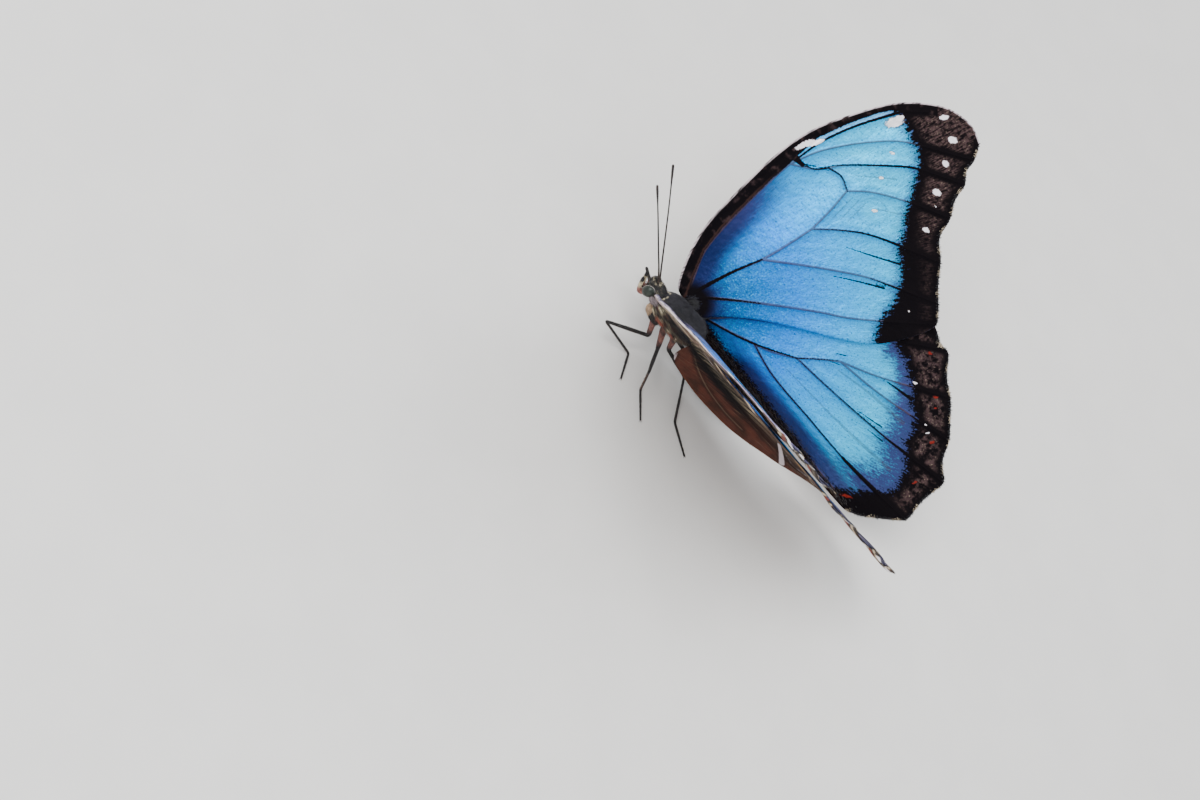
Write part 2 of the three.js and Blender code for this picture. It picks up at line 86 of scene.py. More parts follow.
def colour_property(name, description, code):
    """A colour that a user may change."""
    return FloatVectorProperty(name=name, description=description, subtype="COLOR", size=3,
                               min=0.0, max=1.0, default=tone(code))


def length_property(name, description, metres):
    """A length that a user may change."""
    return FloatProperty(name=name, description=description, default=metres, min=0.0, unit="LENGTH",
                         precision=5)


class WingSettings(bpy.types.PropertyGroup):
    """Sizes and colours of the four wings."""
    membrane: length_property("Membrane", "Thickness of a wing between its veins", 0.00018)
    vein_rise: length_property("Vein Rise", "Height of the thickest vein over the membrane", 0.00013)
    mesh_step: length_property("Mesh Step", "Distance between the points of a wing", 0.0005)
    navy: colour_property("Navy", "Blue at the wing roots and by the front edge", 0x171D48)
    azure: colour_property("Azure", "Blue a little way out from the roots", 0x005EA2)
    sky: colour_property("Sky Blue", "Blue of the middle of the wings", 0x008AF2)
    pale: colour_property("Pale Blue", "Blue further out", 0x00B0FF)
    ice: colour_property("Ice Blue", "Blue of the outer part of the wings", 0x1ECCFF)
    violet: colour_property("Violet", "Fringe between the blue and the dark border", 0x38386A)
    lilac: colour_property("Lilac", "Glints along the forewing's front edge", 0x9C92C4)
    black: colour_property("Black", "Veins and border", 0x0B070A)
    brown: colour_property("Border Brown", "Mottled panels in the border", 0x4A3838)
    white: colour_property("White", "Spots in the border", 0xFCF6F8)
    red: colour_property("Red", "Small marks in the border", 0x8E281E)
    bronze: colour_property("Bronze", "Ground colour of the underside", 0x5E3E2C)
    umber: colour_property("Umber", "Dark parts of the underside", 0x241712)
    russet: colour_property("Russet", "Inner fold of the hindwing's underside", 0x5C3227)
    cream: colour_property("Cream", "Lines and bands of the underside", 0xD2BEA0)
    ochre: colour_property("Ochre", "Rings of the eyespots", 0xB88030)
    # Edge serves two marks: a painted highlight along the forewing's front edge on both faces, and the real
    # pale stripe of the hindwing's underside.
    edge: colour_property("Edge", "Pale scales along the forewing's front edge", 0xEEDEE2)


class BodySettings(bpy.types.PropertyGroup):
    """Colours of the body and how thick its coat is."""
    coat: FloatProperty(name="Coat Density", description="Share of the full number of hairs",
                        default=1.0, min=0.05, max=1.5, subtype="FACTOR")
    charcoal: colour_property("Charcoal", "Hair of the back and the wing roots", 0x191720)
    soot: colour_property("Soot", "Hair of the head and flanks", 0x110F11)
    brown: colour_property("Brown", "Hair of the belly and abdomen", 0x3A281F)
    cream: colour_property("Cream", "Collar and lobes beside the thorax", 0xE6D8B6)
    rust: colour_property("Rust", "Small patches on the flanks", 0xB25A44)
    salmon: colour_property("Salmon", "Palps and coxae", 0xAE7266)
    eye: colour_property("Eye", "Dark grey-green of the eyes", 0x1C221D)
    horn: colour_property("Horn", "Legs, feelers and tongue", 0x1A1210)
    pale_leg: colour_property("Leg Underside", "Paler scales under the legs", 0x745444)


class StageSettings(bpy.types.PropertyGroup):
    """Floor and light."""
    floor: colour_property("Floor", "Colour of the floor", 0xEEECE8)
    key: FloatProperty(name="Key Light", description="Power of the main soft light", default=5.4, min=0.0,
                       unit="POWER")
    fill: FloatProperty(name="Fill Light", description="Power of the soft light on the other side",
                        default=2.1, min=0.0, unit="POWER")
    sky: FloatProperty(name="Sky Light", description="Strength of the even light from all round",
                       default=0.88, min=0.0)


# ---------------------------------------------------------------- points, curves and distances
def place(tail, left, up):
    """Body measures in millimetres to points of the frame, in metres."""
    tail, left, up = np.broadcast_arrays(tail, left, up)
    x = BODY_X + tail * math.cos(PITCH) + up * math.sin(PITCH)
    z = BODY_HEIGHT + up * math.cos(PITCH) - tail * math.sin(PITCH)
    return np.stack([x, -left, z], -1) * MM


def place_all(points):
    """As place, for rows of tail, left and up."""
    return place(*np.asarray(points, float).T)


def on_floor(tail, left, height):
    """A point a height over the floor, below a place on the unpitched body."""
    return np.array([BODY_X + tail, -left, height]) * MM


def on_side(points, side):
    """Rows of tail, left and up on one side of the body."""
    return np.asarray(points, float) * (1, side, 1)


def smooth(value, low, high):
    """0 below low, 1 above high and an S-shaped rise between them."""
    share = np.clip((value - low) / (high - low), 0, 1)
    return share * share * (3 - 2 * share)


def unit(vectors):
    """Vectors of length 1 in the same directions."""
    return vectors / np.maximum(np.linalg.norm(vectors, axis=-1, keepdims=True), 1e-12)


def line_through(points, step):
    """Points at most a step apart along the smooth curve through all the given ones."""
    points = np.asarray(points, float)
    padded = np.vstack([2 * points[0] - points[1], points, 2 * points[-1] - points[-2]])
    found = []
    for a, b, c, d in zip(padded, padded[1:], padded[2:], padded[3:]):
        gaps = [max(np.linalg.norm(q - p) ** 0.5, 1e-6) for p, q in ((a, b), (b, c), (c, d))]
        knots = np.cumsum([0] + gaps)
        count = max(1, math.ceil(np.linalg.norm(c - b) / step))
        for t in np.linspace(knots[1], knots[2], count, endpoint=False):
            ab, bc, cd = (((k1 - t) * p + (t - k0) * q) / (k1 - k0)
                          for p, q, k0, k1 in ((a, b, *knots[:2]), (b, c, *knots[1:3]), (c, d, *knots[2:])))
            abc = ((knots[2] - t) * ab + (t - knots[0]) * bc) / (knots[2] - knots[0])
            bcd = ((knots[3] - t) * bc + (t - knots[1]) * cd) / (knots[3] - knots[1])
            found.append(((knots[2] - t) * abc + (t - knots[1]) * bcd) / (knots[2] - knots[1]))
    return np.array(found + [points[-1]])


def lengths_along(line):
    """How far along a line each of its points is."""
    return np.concatenate([[0], np.cumsum(np.linalg.norm(np.diff(line, axis=0), axis=1))])


def to_line(points, line):
    """Distance of each point to a polyline, and how far along the line its nearest place is, from 0 to 1."""
    line = np.asarray(line, float)
    best = np.full(len(points), 1e9)
    share = np.zeros(len(points))
    lengths = np.linalg.norm(np.diff(line, axis=0), axis=1)
    before = np.concatenate([[0], np.cumsum(lengths)])
    for start, end, length, passed in zip(line, line[1:], lengths, before):
        if length == 0:
            continue
        t = np.clip((points - start) @ (end - start) / length ** 2, 0, 1)
        distance = np.linalg.norm(points - start - t[:, None] * (end - start), axis=1)
        nearer = distance < best
        best = np.where(nearer, distance, best)
        share = np.where(nearer, (passed + t * length) / before[-1], share)
    return best, share


def inside(points, outline):
    """Which points lie inside a closed outline."""
    x, y = points.T
    result = np.zeros(len(points), bool)
    for (x0, y0), (x1, y1) in zip(outline, np.roll(outline, -1, axis=0)):
        if y0 != y1:
            crosses = (y0 > y) != (y1 > y)
            result ^= crosses & (x < (x1 - x0) * (y - y0) / (y1 - y0) + x0)
    return result


def depth_in(points, zone):
    """Distance to the rim of a closed zone, positive inside it."""
    distance, _ = to_line(points, np.vstack([zone, zone[:1]]))
    return np.where(inside(points, zone), distance, -distance)


# ---------------------------------------------------------------- meshes
def turned_outward(points, faces):
    """The same faces with their front sides out, for a closed surface."""
    volume = 0.0
    for face in faces:
        a = points[face[0]]
        for second, third in zip(face[1:-1], face[2:]):
            volume += np.dot(a, np.cross(points[second], points[third]))
    return [tuple(reversed(face)) for face in faces] if volume < 0 else faces


def add_mesh(name, points, faces, material=None, fields=None):
    """A mesh object with its place in its mesh, and its fields as attributes of its points."""
    mesh = bpy.data.meshes.new(name)
    mesh.from_pydata(np.asarray(points).tolist(), [], [tuple(int(i) for i in face) for face in faces])
    for layer_name, values in (fields or {}).items():
        values = np.asarray(values, float)
        kind, content = ("FLOAT_VECTOR", "vector") if values.ndim > 1 else ("FLOAT", "value")
        if layer_name == "tint":
            kind, content = "FLOAT_COLOR", "color"
            values = np.hstack([values, np.ones((len(values), 1))])
        mesh.attributes.new(layer_name, kind, "POINT").data.foreach_set(content, values.ravel())
    mesh.polygons.foreach_set("use_smooth", [True] * len(mesh.polygons))
    if material:
        mesh.materials.append(material)
    mesh.update()
    obj = bpy.data.objects.new(name, mesh)
    bpy.context.scene.collection.objects.link(obj)
    return obj


def add_solid(name, points, faces, material=None, fields=None):
    """A closed mesh object with the front sides of its faces out."""
    return add_mesh(name, points, turned_outward(points, faces), material, fields)


def add_uv(obj, name, places):
    """A UV map with one place for each point."""
    mesh = obj.data
    corners = np.empty(len(mesh.loops), int)
    mesh.loops.foreach_get("vertex_index", corners)
    mesh.uv_layers.new(name=name).data.foreach_set("uv", np.asarray(places)[corners].ravel())


def keep(obj, slot, *nodes):
    """Fixes a finished piece to the body and hides the solids that it stands for; its slot is not used."""
    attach(obj, BODY)
    if nodes:
        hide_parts(*nodes)


def rings_along(centres, wide, high, angles, hint):
    """Rings of points around a line, and the directions ahead of and out from each of them."""
    forward = unit(np.gradient(centres, axis=0))
    side = unit(np.cross(forward, np.asarray(hint, float)))
    above = np.cross(side, forward)
    side, above = side[:, None], above[:, None]
    across, up = np.sin(angles)[:, None], np.cos(angles)[:, None]
    rings = centres[:, None] + side * (across * wide[:, None, None]) + above * (up * high[:, None, None])
    return rings, forward, side * across + above * up


def rounded(centres, wide, high, rings=4):
    """A line and its half sizes with a round end added at both ends, closing to almost nothing."""
    centres, wide, high = (np.asarray(a, float) for a in (centres, wide, high))
    angles = np.linspace(math.pi / 2 * 0.97, 0, rings, endpoint=False)
    reach = np.sin(angles)[:, None]
    shrink = np.cos(angles)
    first = centres[0] + unit(centres[0] - centres[1]) * min(wide[0], high[0]) * reach
    last = centres[-1] + unit(centres[-1] - centres[-2]) * min(wide[-1], high[-1]) * reach
    return (np.vstack([first, centres, last[::-1]]),
            np.concatenate([wide[0] * shrink, wide, wide[-1] * shrink[::-1]]),
            np.concatenate([high[0] * shrink, high, high[-1] * shrink[::-1]]))


def tube(centres, wide, high, sides, hint=(0, 0, 1)):
    """A closed tube along a line: its points, its faces, and along and around as shares for each point."""
    angles = np.arange(sides) / sides * 2 * math.pi
    rings, _, _ = rings_along(centres, wide, high, angles, hint)
    count = len(centres)
    points = np.vstack([rings.reshape(-1, 3), centres[:1], centres[-1:]])
    faces = []
    for ring in range(count - 1):
        for i in range(sides):
            j = (i + 1) % sides
            faces.append((ring * sides + i, ring * sides + j, (ring + 1) * sides + j, (ring + 1) * sides + i))
    for i in range(sides):
        j = (i + 1) % sides
        faces.append((i, count * sides, j))
        faces.append(((count - 1) * sides + i, (count - 1) * sides + j, count * sides + 1))
    lengths = lengths_along(centres)
    along = np.concatenate([np.repeat(lengths / lengths[-1], sides), [0, 1]])
    around = np.concatenate([np.tile(angles / (2 * math.pi), count), [0, 0]])
    return points, faces, along, around


def sheet(centres, wide, high, sides, hint=(0, 0, 1)):
    """The side of a tube as an open sheet that coat grows on, with its unwrap and its lie."""
    angles = np.arange(sides + 1) / sides * 2 * math.pi
    rings, forward, outward = rings_along(centres, wide, high, angles, hint)
    count, across = len(centres), sides + 1
    faces = [(r * across + i, r * across + i + 1, (r + 1) * across + i + 1, (r + 1) * across + i)
             for r in range(count - 1) for i in range(sides)]
    lengths = lengths_along(centres)
    along = np.repeat(lengths / lengths[-1], across)
    around = np.tile(angles / (2 * math.pi), count)
    fields = {"comb": np.repeat(forward, across, axis=0), "facing": unit(outward.reshape(-1, 3)),
              "root_uv": np.stack([0.02 + 0.96 * along, 0.02 + 0.96 * around, np.zeros(len(along))], -1)}
    return rings.reshape(-1, 3), faces, along, around, fields


def body_sheet(shape, sides, hint=(0, 0, 1)):
    """A sheet in body measures, with the directions among its fields turned into the frame."""
    points, faces, along, _, fields = sheet(*shape, sides, hint)
    for name in ("comb", "facing"):
        fields[name] = unit(place_all(fields[name]) - place(0, 0, 0))
    return points, faces, along, fields


def blend(share, first, second):
    """Rows of colours between two, the second one where the share is 1."""
    return np.array(first) * (1 - share[:, None]) + np.array(second) * share[:, None]


# ---------------------------------------------------------------- materials
class Finish:
    """One material's node tree, with a short method for each kind of node that it uses."""

    def __init__(self, name, roughness=0.6, **constants):
        self.material = bpy.data.materials.new(name)
        self.material.use_nodes = True
        self.tree = self.material.node_tree
        self.shader = next(n for n in self.tree.nodes if n.type == "BSDF_PRINCIPLED")
        self.shader.inputs["Roughness"].default_value = roughness
        for socket, value in constants.items():
            self.shader.inputs[socket.replace("_", " ")].default_value = value

    def put(self, value, socket):
        """Links or sets an input."""
        if isinstance(value, bpy.types.NodeSocket):
            self.tree.links.new(value, socket)
        elif hasattr(value, "__len__") and socket.type == "RGBA":
            socket.default_value = (*value[:3], 1.0)
        else:
            socket.default_value = value

    def field(self, name, output="Fac"):
        """One of the mesh's own fields."""
        node = self.tree.nodes.new("ShaderNodeAttribute")
        node.attribute_name = name
        return node.outputs[output]

    def place(self):
        """The point of the model, in metres."""
        return self.tree.nodes.new("ShaderNodeTexCoord").outputs["Object"]

    def math(self, operation, a, b=0.0):
        """A sum on one or two values."""
        node = self.tree.nodes.new("ShaderNodeMath")
        node.operation = operation
        self.put(a, node.inputs[0])
        self.put(b, node.inputs[1])
        return node.outputs[0]

    def times(self, a, b):
        """The product of two values."""
        return self.math("MULTIPLY", a, b)

    def plus(self, a, b, share=1.0):
        """A value and a share of another."""
        return self.math("ADD", a, b if share == 1.0 else self.times(b, share))

    def away(self, value, middle):
        """How far a value is from another."""
        return self.math("ABSOLUTE", self.math("SUBTRACT", value, middle))

    def soft(self, value, low, high, start=0.0, end=1.0):
        """A soft step from start to end as the value goes from low to high."""
        node = self.tree.nodes.new("ShaderNodeMapRange")
        node.interpolation_type = "SMOOTHSTEP"
        for socket, number in zip(node.inputs, (value, low, high, start, end)):
            self.put(number, socket)
        return node.outputs[0]

    def mix(self, share, a, b, blend="MIX"):
        """One colour over another."""
        node = self.tree.nodes.new("ShaderNodeMix")
        node.data_type = "RGBA"
        node.blend_type = blend
        for index, value in ((0, share), (6, a), (7, b)):
            self.put(value, node.inputs[index])
        return node.outputs[2]

    def over(self, base, colour, value, low, high, share=1.0):
        """A colour laid over another, more and more as the value goes from low to high."""
        return self.mix(self.soft(value, low, high, 0.0, share), base, colour)

    def stretch(self, vector, scale):
        """A direction field stretched by three factors."""
        node = self.tree.nodes.new("ShaderNodeMapping")
        self.put(vector, node.inputs["Vector"])
        node.inputs["Scale"].default_value = scale
        return node.outputs[0]

    def noise(self, vector, scale, detail=2.0, roughness=0.55):
        """Cloudy variation about 0, mostly between -1 and 1."""
        node = self.tree.nodes.new("ShaderNodeTexNoise")
        self.put(vector, node.inputs["Vector"])
        node.inputs["Scale"].default_value = scale
        node.inputs["Detail"].default_value = detail
        node.inputs["Roughness"].default_value = roughness
        return self.times(self.math("SUBTRACT", node.outputs["Fac"], 0.5), 5.0)

    def ramp(self, value, stops):
        """Colours along a value, from a list of positions and colours."""
        node = self.tree.nodes.new("ShaderNodeValToRGB")
        self.put(value, node.inputs[0])
        elements = node.color_ramp.elements
        while len(elements) < len(stops):
            elements.new(0.5)
        for element, (position, colour) in zip(elements, stops):
            element.position = position
            element.color = (*colour[:3], 1.0)
        return node.outputs[0]

    def bump(self, height, distance, strength=1.0):
        """Relief in the surface, its height in metres."""
        node = self.tree.nodes.new("ShaderNodeBump")
        node.inputs["Strength"].default_value = strength
        node.inputs["Distance"].default_value = distance
        self.put(height, node.inputs["Height"])
        self.put(node.outputs[0], self.shader.inputs["Normal"])

    def paint(self, colour):
        """The surface's colour."""
        self.put(colour, self.shader.inputs["Base Color"])
        return self.material


FINISHES = {}


def shared(make, name, *details):
    """A finish that is made once, for both sides."""
    if (make, name) not in FINISHES:
        FINISHES[make, name] = make(name, *details)
    return FINISHES[make, name]


# ---------------------------------------------------------------- wings
WINGS = {
    "forewing": {
        "leading": [(-3.4, -1), (-5.6, 1.6), (-8.5, 6.8), (-10.7, 13), (-11.8, 22), (-12.5, 34), (-11.5, 42),
                    (-9.1, 49), (-5.1, 57.5), (-1.4, 62.1), (3.5, 65.9), (9.1, 67.3), (13.3, 66.4)],
        "tips": [(13.3, 66.4, 0), (15.4, 63.5, 0), (18, 58.9, .9), (21.5, 52.3, 1), (27.4, 45, 1.3),
                 (34, 39.4, 0), (37.5, 36.5, 0)],
        "inner": [(37.5, 36.5), (37.3, 34.2), (35.5, 30), (31.8, 23.8), (26.2, 19), (18.9, 13.9), (11.9, 8.7),
                  (5.8, 2.8), (3, -1)],
        "veins": [
            [(-1.6, .1), (-4.1, 4.3), (-6.7, 9.3), (-8.5, 21.4), (-9.1, 33.7), (-8.5, 41.2), (-6.8, 47.8),
             (-2.7, 57.6), (1, 62)],
            [(-9.1, 33.7), (-7.5, 39.2), (-5.2, 43.9), (-1.9, 49.1), (1.9, 53.9), (6.2, 57.2), (15.4, 63.5)],
            [(-9.1, 33.7), (-4.9, 37), (-3.3, 39.3), (-2.2, 41.4), (4.5, 49.2), (8.3, 52.9), (18, 58.9)],
            [(-3.3, 39.3), (-.3, 40.2), (2.7, 39.2)],
            [(2.7, 39.2), (6, 42.7), (12.3, 47.2), (21.5, 52.3)],
            [(2.7, 39.2), (3.6, 34), (4.1, 28.8)],
            [(4.1, 28.8), (8.1, 33.1), (13.1, 37.3), (27.4, 45)],
            [(-1.6, .6), (-1.1, 3.4), (.3, 10.2), (2.3, 17), (3.4, 23.5), (4.1, 28.8)],
            [(2.3, 17), (8.3, 22.3), (14.9, 27.8), (20.2, 31.7), (34, 39.4)],
            [(-1.1, .6), (2.9, 5.2), (9.1, 11), (18.9, 19.3), (24, 23.3), (37.5, 36.5)],
        ],
    },
    "hindwing": {
        "leading": [(3.6, -1), (3.6, 3), (5.5, 11), (11, 20.5), (19, 28.5), (28, 34), (35.5, 36.4),
                    (39.6, 35.7)],
        "tips": [(39.6, 35.7, -.5), (43.9, 35.1, 1), (52.5, 29.2, .7), (59.9, 23.3, .2), (66.2, 16.7, 1),
                 (67.3, 5.4, .3), (60, -1.5, 0), (56.8, -3.2, 0)],
        "inner": [(56.8, -3.2), (50, -3.5), (43, -4.4), (37, -6), (31, -8.2), (25, -9.9), (18, -10.7),
                  (12.5, -10.1), (8.1, -9.2), (6.2, -7.8), (5.8, -5), (6.1, -1)],
        "veins": [
            [(4.6, -.2), (8, 1.4), (12.3, 3.4), (15.3, 4.7), (18.8, 6.3), (23.7, 9.6)],
            [(15.3, 4.7), (22.3, 3.5), (36, 3.5), (49.7, 3.7), (67.3, 5.4)],
            [(23.7, 9.6), (30.7, 10.4), (45.5, 12.5), (66.2, 16.7)],
            [(23.7, 9.6), (27.1, 13.2), (30.3, 16.1)],
            [(30.3, 16.1), (40.2, 17.9), (49.5, 20.3), (59.9, 23.3)],
            [(30.3, 16.1), (37, 19.5), (44, 23.8), (52.5, 29.2)],
            [(4.9, .8), (8, 5), (13, 9.5), (22, 17.5), (33, 26.5), (43.9, 35.1)],
            [(13, 9.5), (20, 19.5), (30, 29), (39.6, 35.7)],
            [(5.2, -1.2), (14, -2.4), (30, -3.4), (45, -2.4), (60, -1.5)],
            [(7.6, -2.7), (10.5, -4.6), (16, -6.6), (22, -7.2), (28, -6.6)],
        ],
    },
}

# Zones, inked lines and spots of the upper side, each in the flat wing's tailward and outward places.
BLUE_ZONE = {
    "forewing": [(-18, 57), (.5, 56.4), (5.6, 55.5), (8.2, 53.8), (10.3, 51.4), (12.8, 48.1), (14.6, 45.4),
                 (17.5, 42.4), (19.3, 39.7), (21.7, 38.6), (23.6, 37.6), (25.2, 35.3), (27.3, 32.9),
                 (28.2, 29), (29.7, 25.9), (31.6, 23.9), (44, 14), (20, -8), (-12, -8), (-24, 0)],
    "hindwing": [(-4, -.8), (8.1, -.8), (11.9, -1.2), (16.2, -1.2), (27.1, -1.7), (38.2, -2.3), (43.7, -2.6),
                 (50.1, -2.1), (53.1, -.4), (56.7, 3.7), (59.1, 6), (60.1, 8.5), (59.4, 9.9), (58.3, 12.1),
                 (55.7, 14.1), (53.1, 16.1), (52.4, 18.6), (50.2, 21.1), (47.8, 21.6), (45.5, 23.9),
                 (42.3, 25.3), (39.3, 26.8), (35.9, 26.7), (27, 40), (-4, 30)],
}
COSTA_LINE = [(-1.6, .1), (-4.1, 4.3), (-6.7, 9.3), (-7.9, 14.8), (-8.5, 21.4), (-9.1, 28.6), (-9.2, 33.7),
              (-9.5, 41.4), (-7.7, 48.1), (-5.3, 54.3), (-3.3, 58), (3, 63)]
INK = {  # lines of black scales: points, and half widths at the start and the end
    "forewing": [
        ([(-1.1, .6), (2.9, 5.2), (9.1, 11)], .3, .06),
        ([(-1.6, .6), (-1.1, 3.4), (.3, 10.2), (2.3, 17)], .42, .12),
        ([(-12.9, 35.2), (-9.7, 35.3), (-7.2, 35.6)], 1.0, .4),
        ([(-7.6, 35.5), (-4.9, 37), (-3.3, 39.3)], .12, .1),
        ([(-3.3, 39.3), (-.3, 40.2), (2.9, 39.2)], .1, .05),
        ([(-7, 36.1), (-4.3, 38.1), (-2.2, 39.3)], .03, .02),
        ([(-9, 35), (-8.5, 41.2), (-6.8, 47.8), (-2.7, 57.6)], .14, .26),
        ([(-4.9, 37.2), (-2.4, 41.2), (4.5, 49.2), (8.3, 52.9), (18, 58.9)], .02, .3),
        ([(11.8, 31.9), (16.4, 34.7), (22.2, 38.4)], .0, .2),
        ([(14.7, 26.1), (19, 29.3), (23.9, 32.7)], .0, .18),
        ([(4.1, 28.8), (8.1, 33.1), (13.1, 37.3), (27.4, 45)], -.03, .36),
        ([(12.3, 47.2), (21.5, 52.3)], .03, .36),
        ([(20.2, 31.7), (34, 39.4)], .0, .46),
        ([(6.2, 57.2), (15.4, 63.5)], .06, .36),
    ],
    "hindwing": [
        ([(4.6, -.2), (15.3, 4.7), (23.7, 9.6)], .24, .1),
        ([(23.7, 9.6), (27.1, 13.2), (29.8, 15.9)], .06, .02),
        ([(28.5, 16.6), (30.2, 17.8)], .06, .02),
        ([(29, 14.5), (30.8, 15.6)], .06, .02),
        ([(23.7, 9.6), (30.7, 10.4), (41.7, 12), (50, 13.3)], .02, .1),
        ([(50, 13.3), (66.2, 16.7)], .12, .7),
        ([(41.7, 12.5), (47.5, 14.1)], .0, .1),
        ([(46, 11.5), (50, 12.3)], .0, .1),
        ([(15.3, 4.7), (22.3, 3.5), (36, 3.5), (47, 3.6)], .06, .08),
        ([(47, 3.6), (53, 4), (67.3, 5.4)], .26, .6),
        ([(38.7, 20.5), (42, 21.4), (47, 22.6)], -.02, .3),
        ([(44, 23.8), (52.5, 29.2)], .02, .5),
        ([(49.5, 20.3), (59.9, 23.3)], .06, .55),
        ([(33, 26.5), (43.9, 35.1)], .0, .45),
    ],
}
FOLD_LINES = {  # faint lines between the veins: points and half widths
    "forewing": [([(5.2, 33.5), (4.6, 38.6)], .05, .05), ([(6.5, 34.5), (5.9, 39.8)], .05, .05),
                 ([(7.8, 35.5), (7.3, 40.6)], .05, .05), ([(1.4, 42.5), (7.5, 48.5)], .0, .1),
                 ([(9.5, 41.5), (15, 45.6)], .0, .12)],
    "hindwing": [([(31.5, 14.6), (39.5, 16.5), (49.9, 18.1)], .06, .3),
                 ([(24, 6.5), (38.8, 7.6), (45.6, 8.3), (56.2, 9.7)], .02, .3)],
}
SPOTS = {  # white spots: tail, out, half lengths along and across, turn in degrees
    "forewing": [(-1.8, 55.4, 1.9, 1.0, 62), (-1.9, 56.6, 1.1, .6, 62), (-10.3, 38.4, 2.2, .6, 76),
                 (-9, 40.6, 1.8, .5, 70),
                 (2.8, 51.2, .62, .3, 30), (5.3, 46.3, .62, .32, 40), (9.8, 41.1, .72, .36, 40),
                 (4, 63.9, 1, .56, 50), (8.9, 62.5, 1.05, .72, 30), (11.9, 58.4, .85, .62, 20),
                 (15.3, 53.4, 1, .66, 20), (17.3, 51.4, .32, .24, 20), (20, 46.9, .85, .5, 20),
                 (31.1, 33.7, .34, .26, 30)],
    "hindwing": [(55.2, 20.8, .45, .25, 60), (53.4, 21.6, .35, .25, 30), (44.7, 25.4, .6, .28, 20)],
}
REDS = {
    "forewing": [],
    "hindwing": [(41.7, 31.7, .65, .35, 30), (50, 26.8, .7, .3, 40), (51.9, 25.3, .5, .28, 60),
                 (57.5, 20.2, .8, .36, 60), (54.3, -1, 1.5, .35, 30), (62, 12, .7, .32, 80)],
}
CRESCENTS = {  # discs and crescents of paler scales
    "forewing": [(2.8, 50.6, 1.7, 1.3, 30), (5.4, 45.6, 1.9, 1.5, 30), (9.6, 40.6, 3, 2.6, 30)],
    "hindwing": [(36.1, 32.2, 1.4, .5, 10), (35.3, 35.6, 1.8, .4, 10)],
}

# The underside: eyespots as tail, out, half lengths and turn; pale bands and lines as points and widths.
EYESPOTS = {
    "forewing": [(2.5, 53.5, 1.5, 1.2, 30), (8.8, 46.6, 2.3, 1.9, 30), (13.6, 41.2, 2.7, 2.3, 30),
                 (19.2, 35.6, 2.2, 1.9, 30)],
    "hindwing": [(30, 24.8, 4.0, 3.0, 40), (48.6, 16.4, 2.6, 2.1, 15), (50.5, 9.4, 3.0, 2.5, 10),
                 (48.5, .9, 3.1, 2.4, 5)],
}
PALE_BANDS = {
    "forewing": [([(-9.5, 46), (-4, 45), (1, 42.6), (5.5, 38.5), (9.6, 33.5), (14.2, 28.6), (19, 22)],
                  .9, .7),
                 ([(-10.2, 28), (-6, 28.8), (-1.5, 27.6), (2.8, 25.8)], .7, .5),
                 ([(-9.6, 17), (-5, 17.6), (0, 16)], .55, .4),
                 ([(-5.6, 37.6), (-1.6, 41.6), (3.2, 41)], .5, .4)],
    "hindwing": [([(14.5, 24.8), (20, 21.4), (27.5, 18.4), (34.5, 14.5), (38.6, 9.5), (39.6, 4), (38.8, .6)],
                  .9, .45),
                 ([(7.6, 15.5), (12, 11.6), (15.5, 6.6), (17, 1.2)], .75, .4),
                 ([(5.2, 6.5), (8.6, 4.5), (9.8, 1)], .5, .35)],
}
STRIPES = {  # narrow pale lines, as points and half widths
    "forewing": [([(-4.5, 3), (-8, 14), (-9.6, 26), (-9.6, 38)], .2, .12),
                 ([(-3, 4), (-6, 14), (-7.4, 26), (-7.4, 36)], .1, .1)],
    "hindwing": [([(7, -8.6), (6.2, -7)], .3, .2), ([(9, 2.3), (20, 2.1), (32, 1.9)], .2, .06),
                 ([(8, .7), (17, .4), (26, .6)], .12, .04),
                 ([(34, .6), (36.2, -1.9), (38.9, -4.5)], .5, .62),
                 ([(37.6, 1.9), (42, 1.2), (43.6, -.6)], .1, .12),
                 ([(37, -.6), (40.4, -1.9), (43.6, -.6)], .08, .12)],
}
TICKS = {  # white flecks on the underside of the margins
    "forewing": [(-2.4, 60.6), (4.3, 64.6), (9.4, 65.6), (11.4, 66.6), (13, 65.2), (20.7, 52.4),
                 (26.2, 46), (31.6, 41)],
    "hindwing": [(43.4, 34.7), (44.9, 33.9), (51.9, 29.2), (58.2, 24.2), (63, 18.9), (66, 13.2), (46.4, .4)],
}


def forewing_lift(tail, out):
    """How far the forewing's plane curves down towards its leading edge, less so towards the tip."""
    share = smooth(DROOP_START - tail, 0, DROOP_LENGTH)
    return -DROOP * share * np.minimum(1, (DROOP_REACH - out) / DROOP_FADE)


def on_wing(kind, side, flat, over):
    """Points of a wing from their flat places and their height over its middle surface, upper side up."""
    tail, out = flat.T
    folds = kind == "hindwing"
    lift = over + (HINDWING_LIFT if folds else forewing_lift(tail, out))
    fade = smooth(FOLD_FADE[1] - tail, 0, FOLD_FADE[1] - FOLD_FADE[0])
    flat_out = np.maximum(out, FOLD_START) if folds else out
    left = HINGE_SIDE + flat_out * math.sin(WING_TILT)
    up = HINGE_UP + flat_out * math.cos(WING_TILT)
    step = (flat_out - out) / FOLD_STEPS
    lean = np.full(len(flat), WING_TILT)
    for i in range(FOLD_STEPS):
        lean = WING_TILT * (1 - np.minimum(1, (i + 0.5) * step / FOLD_TURN) * fade)
        left = left - step * np.sin(lean)
        up = up - step * np.cos(lean)
    return place(tail, side * (left - lift * np.cos(lean)), up + lift * np.sin(lean))


def scalloped(tips, step):
    """The outer margin: bays between the ends of the veins, deeper where the third number is larger."""
    found = []
    for (tail0, out0, _), (tail1, out1, depth) in zip(tips, tips[1:]):
        across = np.array([tail1 - tail0, out1 - out0])
        length = math.hypot(*across)
        inward = np.array([out1 - out0, tail0 - tail1]) / length
        for share in np.arange(0, 1, step / length):
            dip = depth * math.sin(math.pi * share) ** 2
            found.append(np.array([tail0, out0]) + share * across + dip * inward)
    return np.array(found)


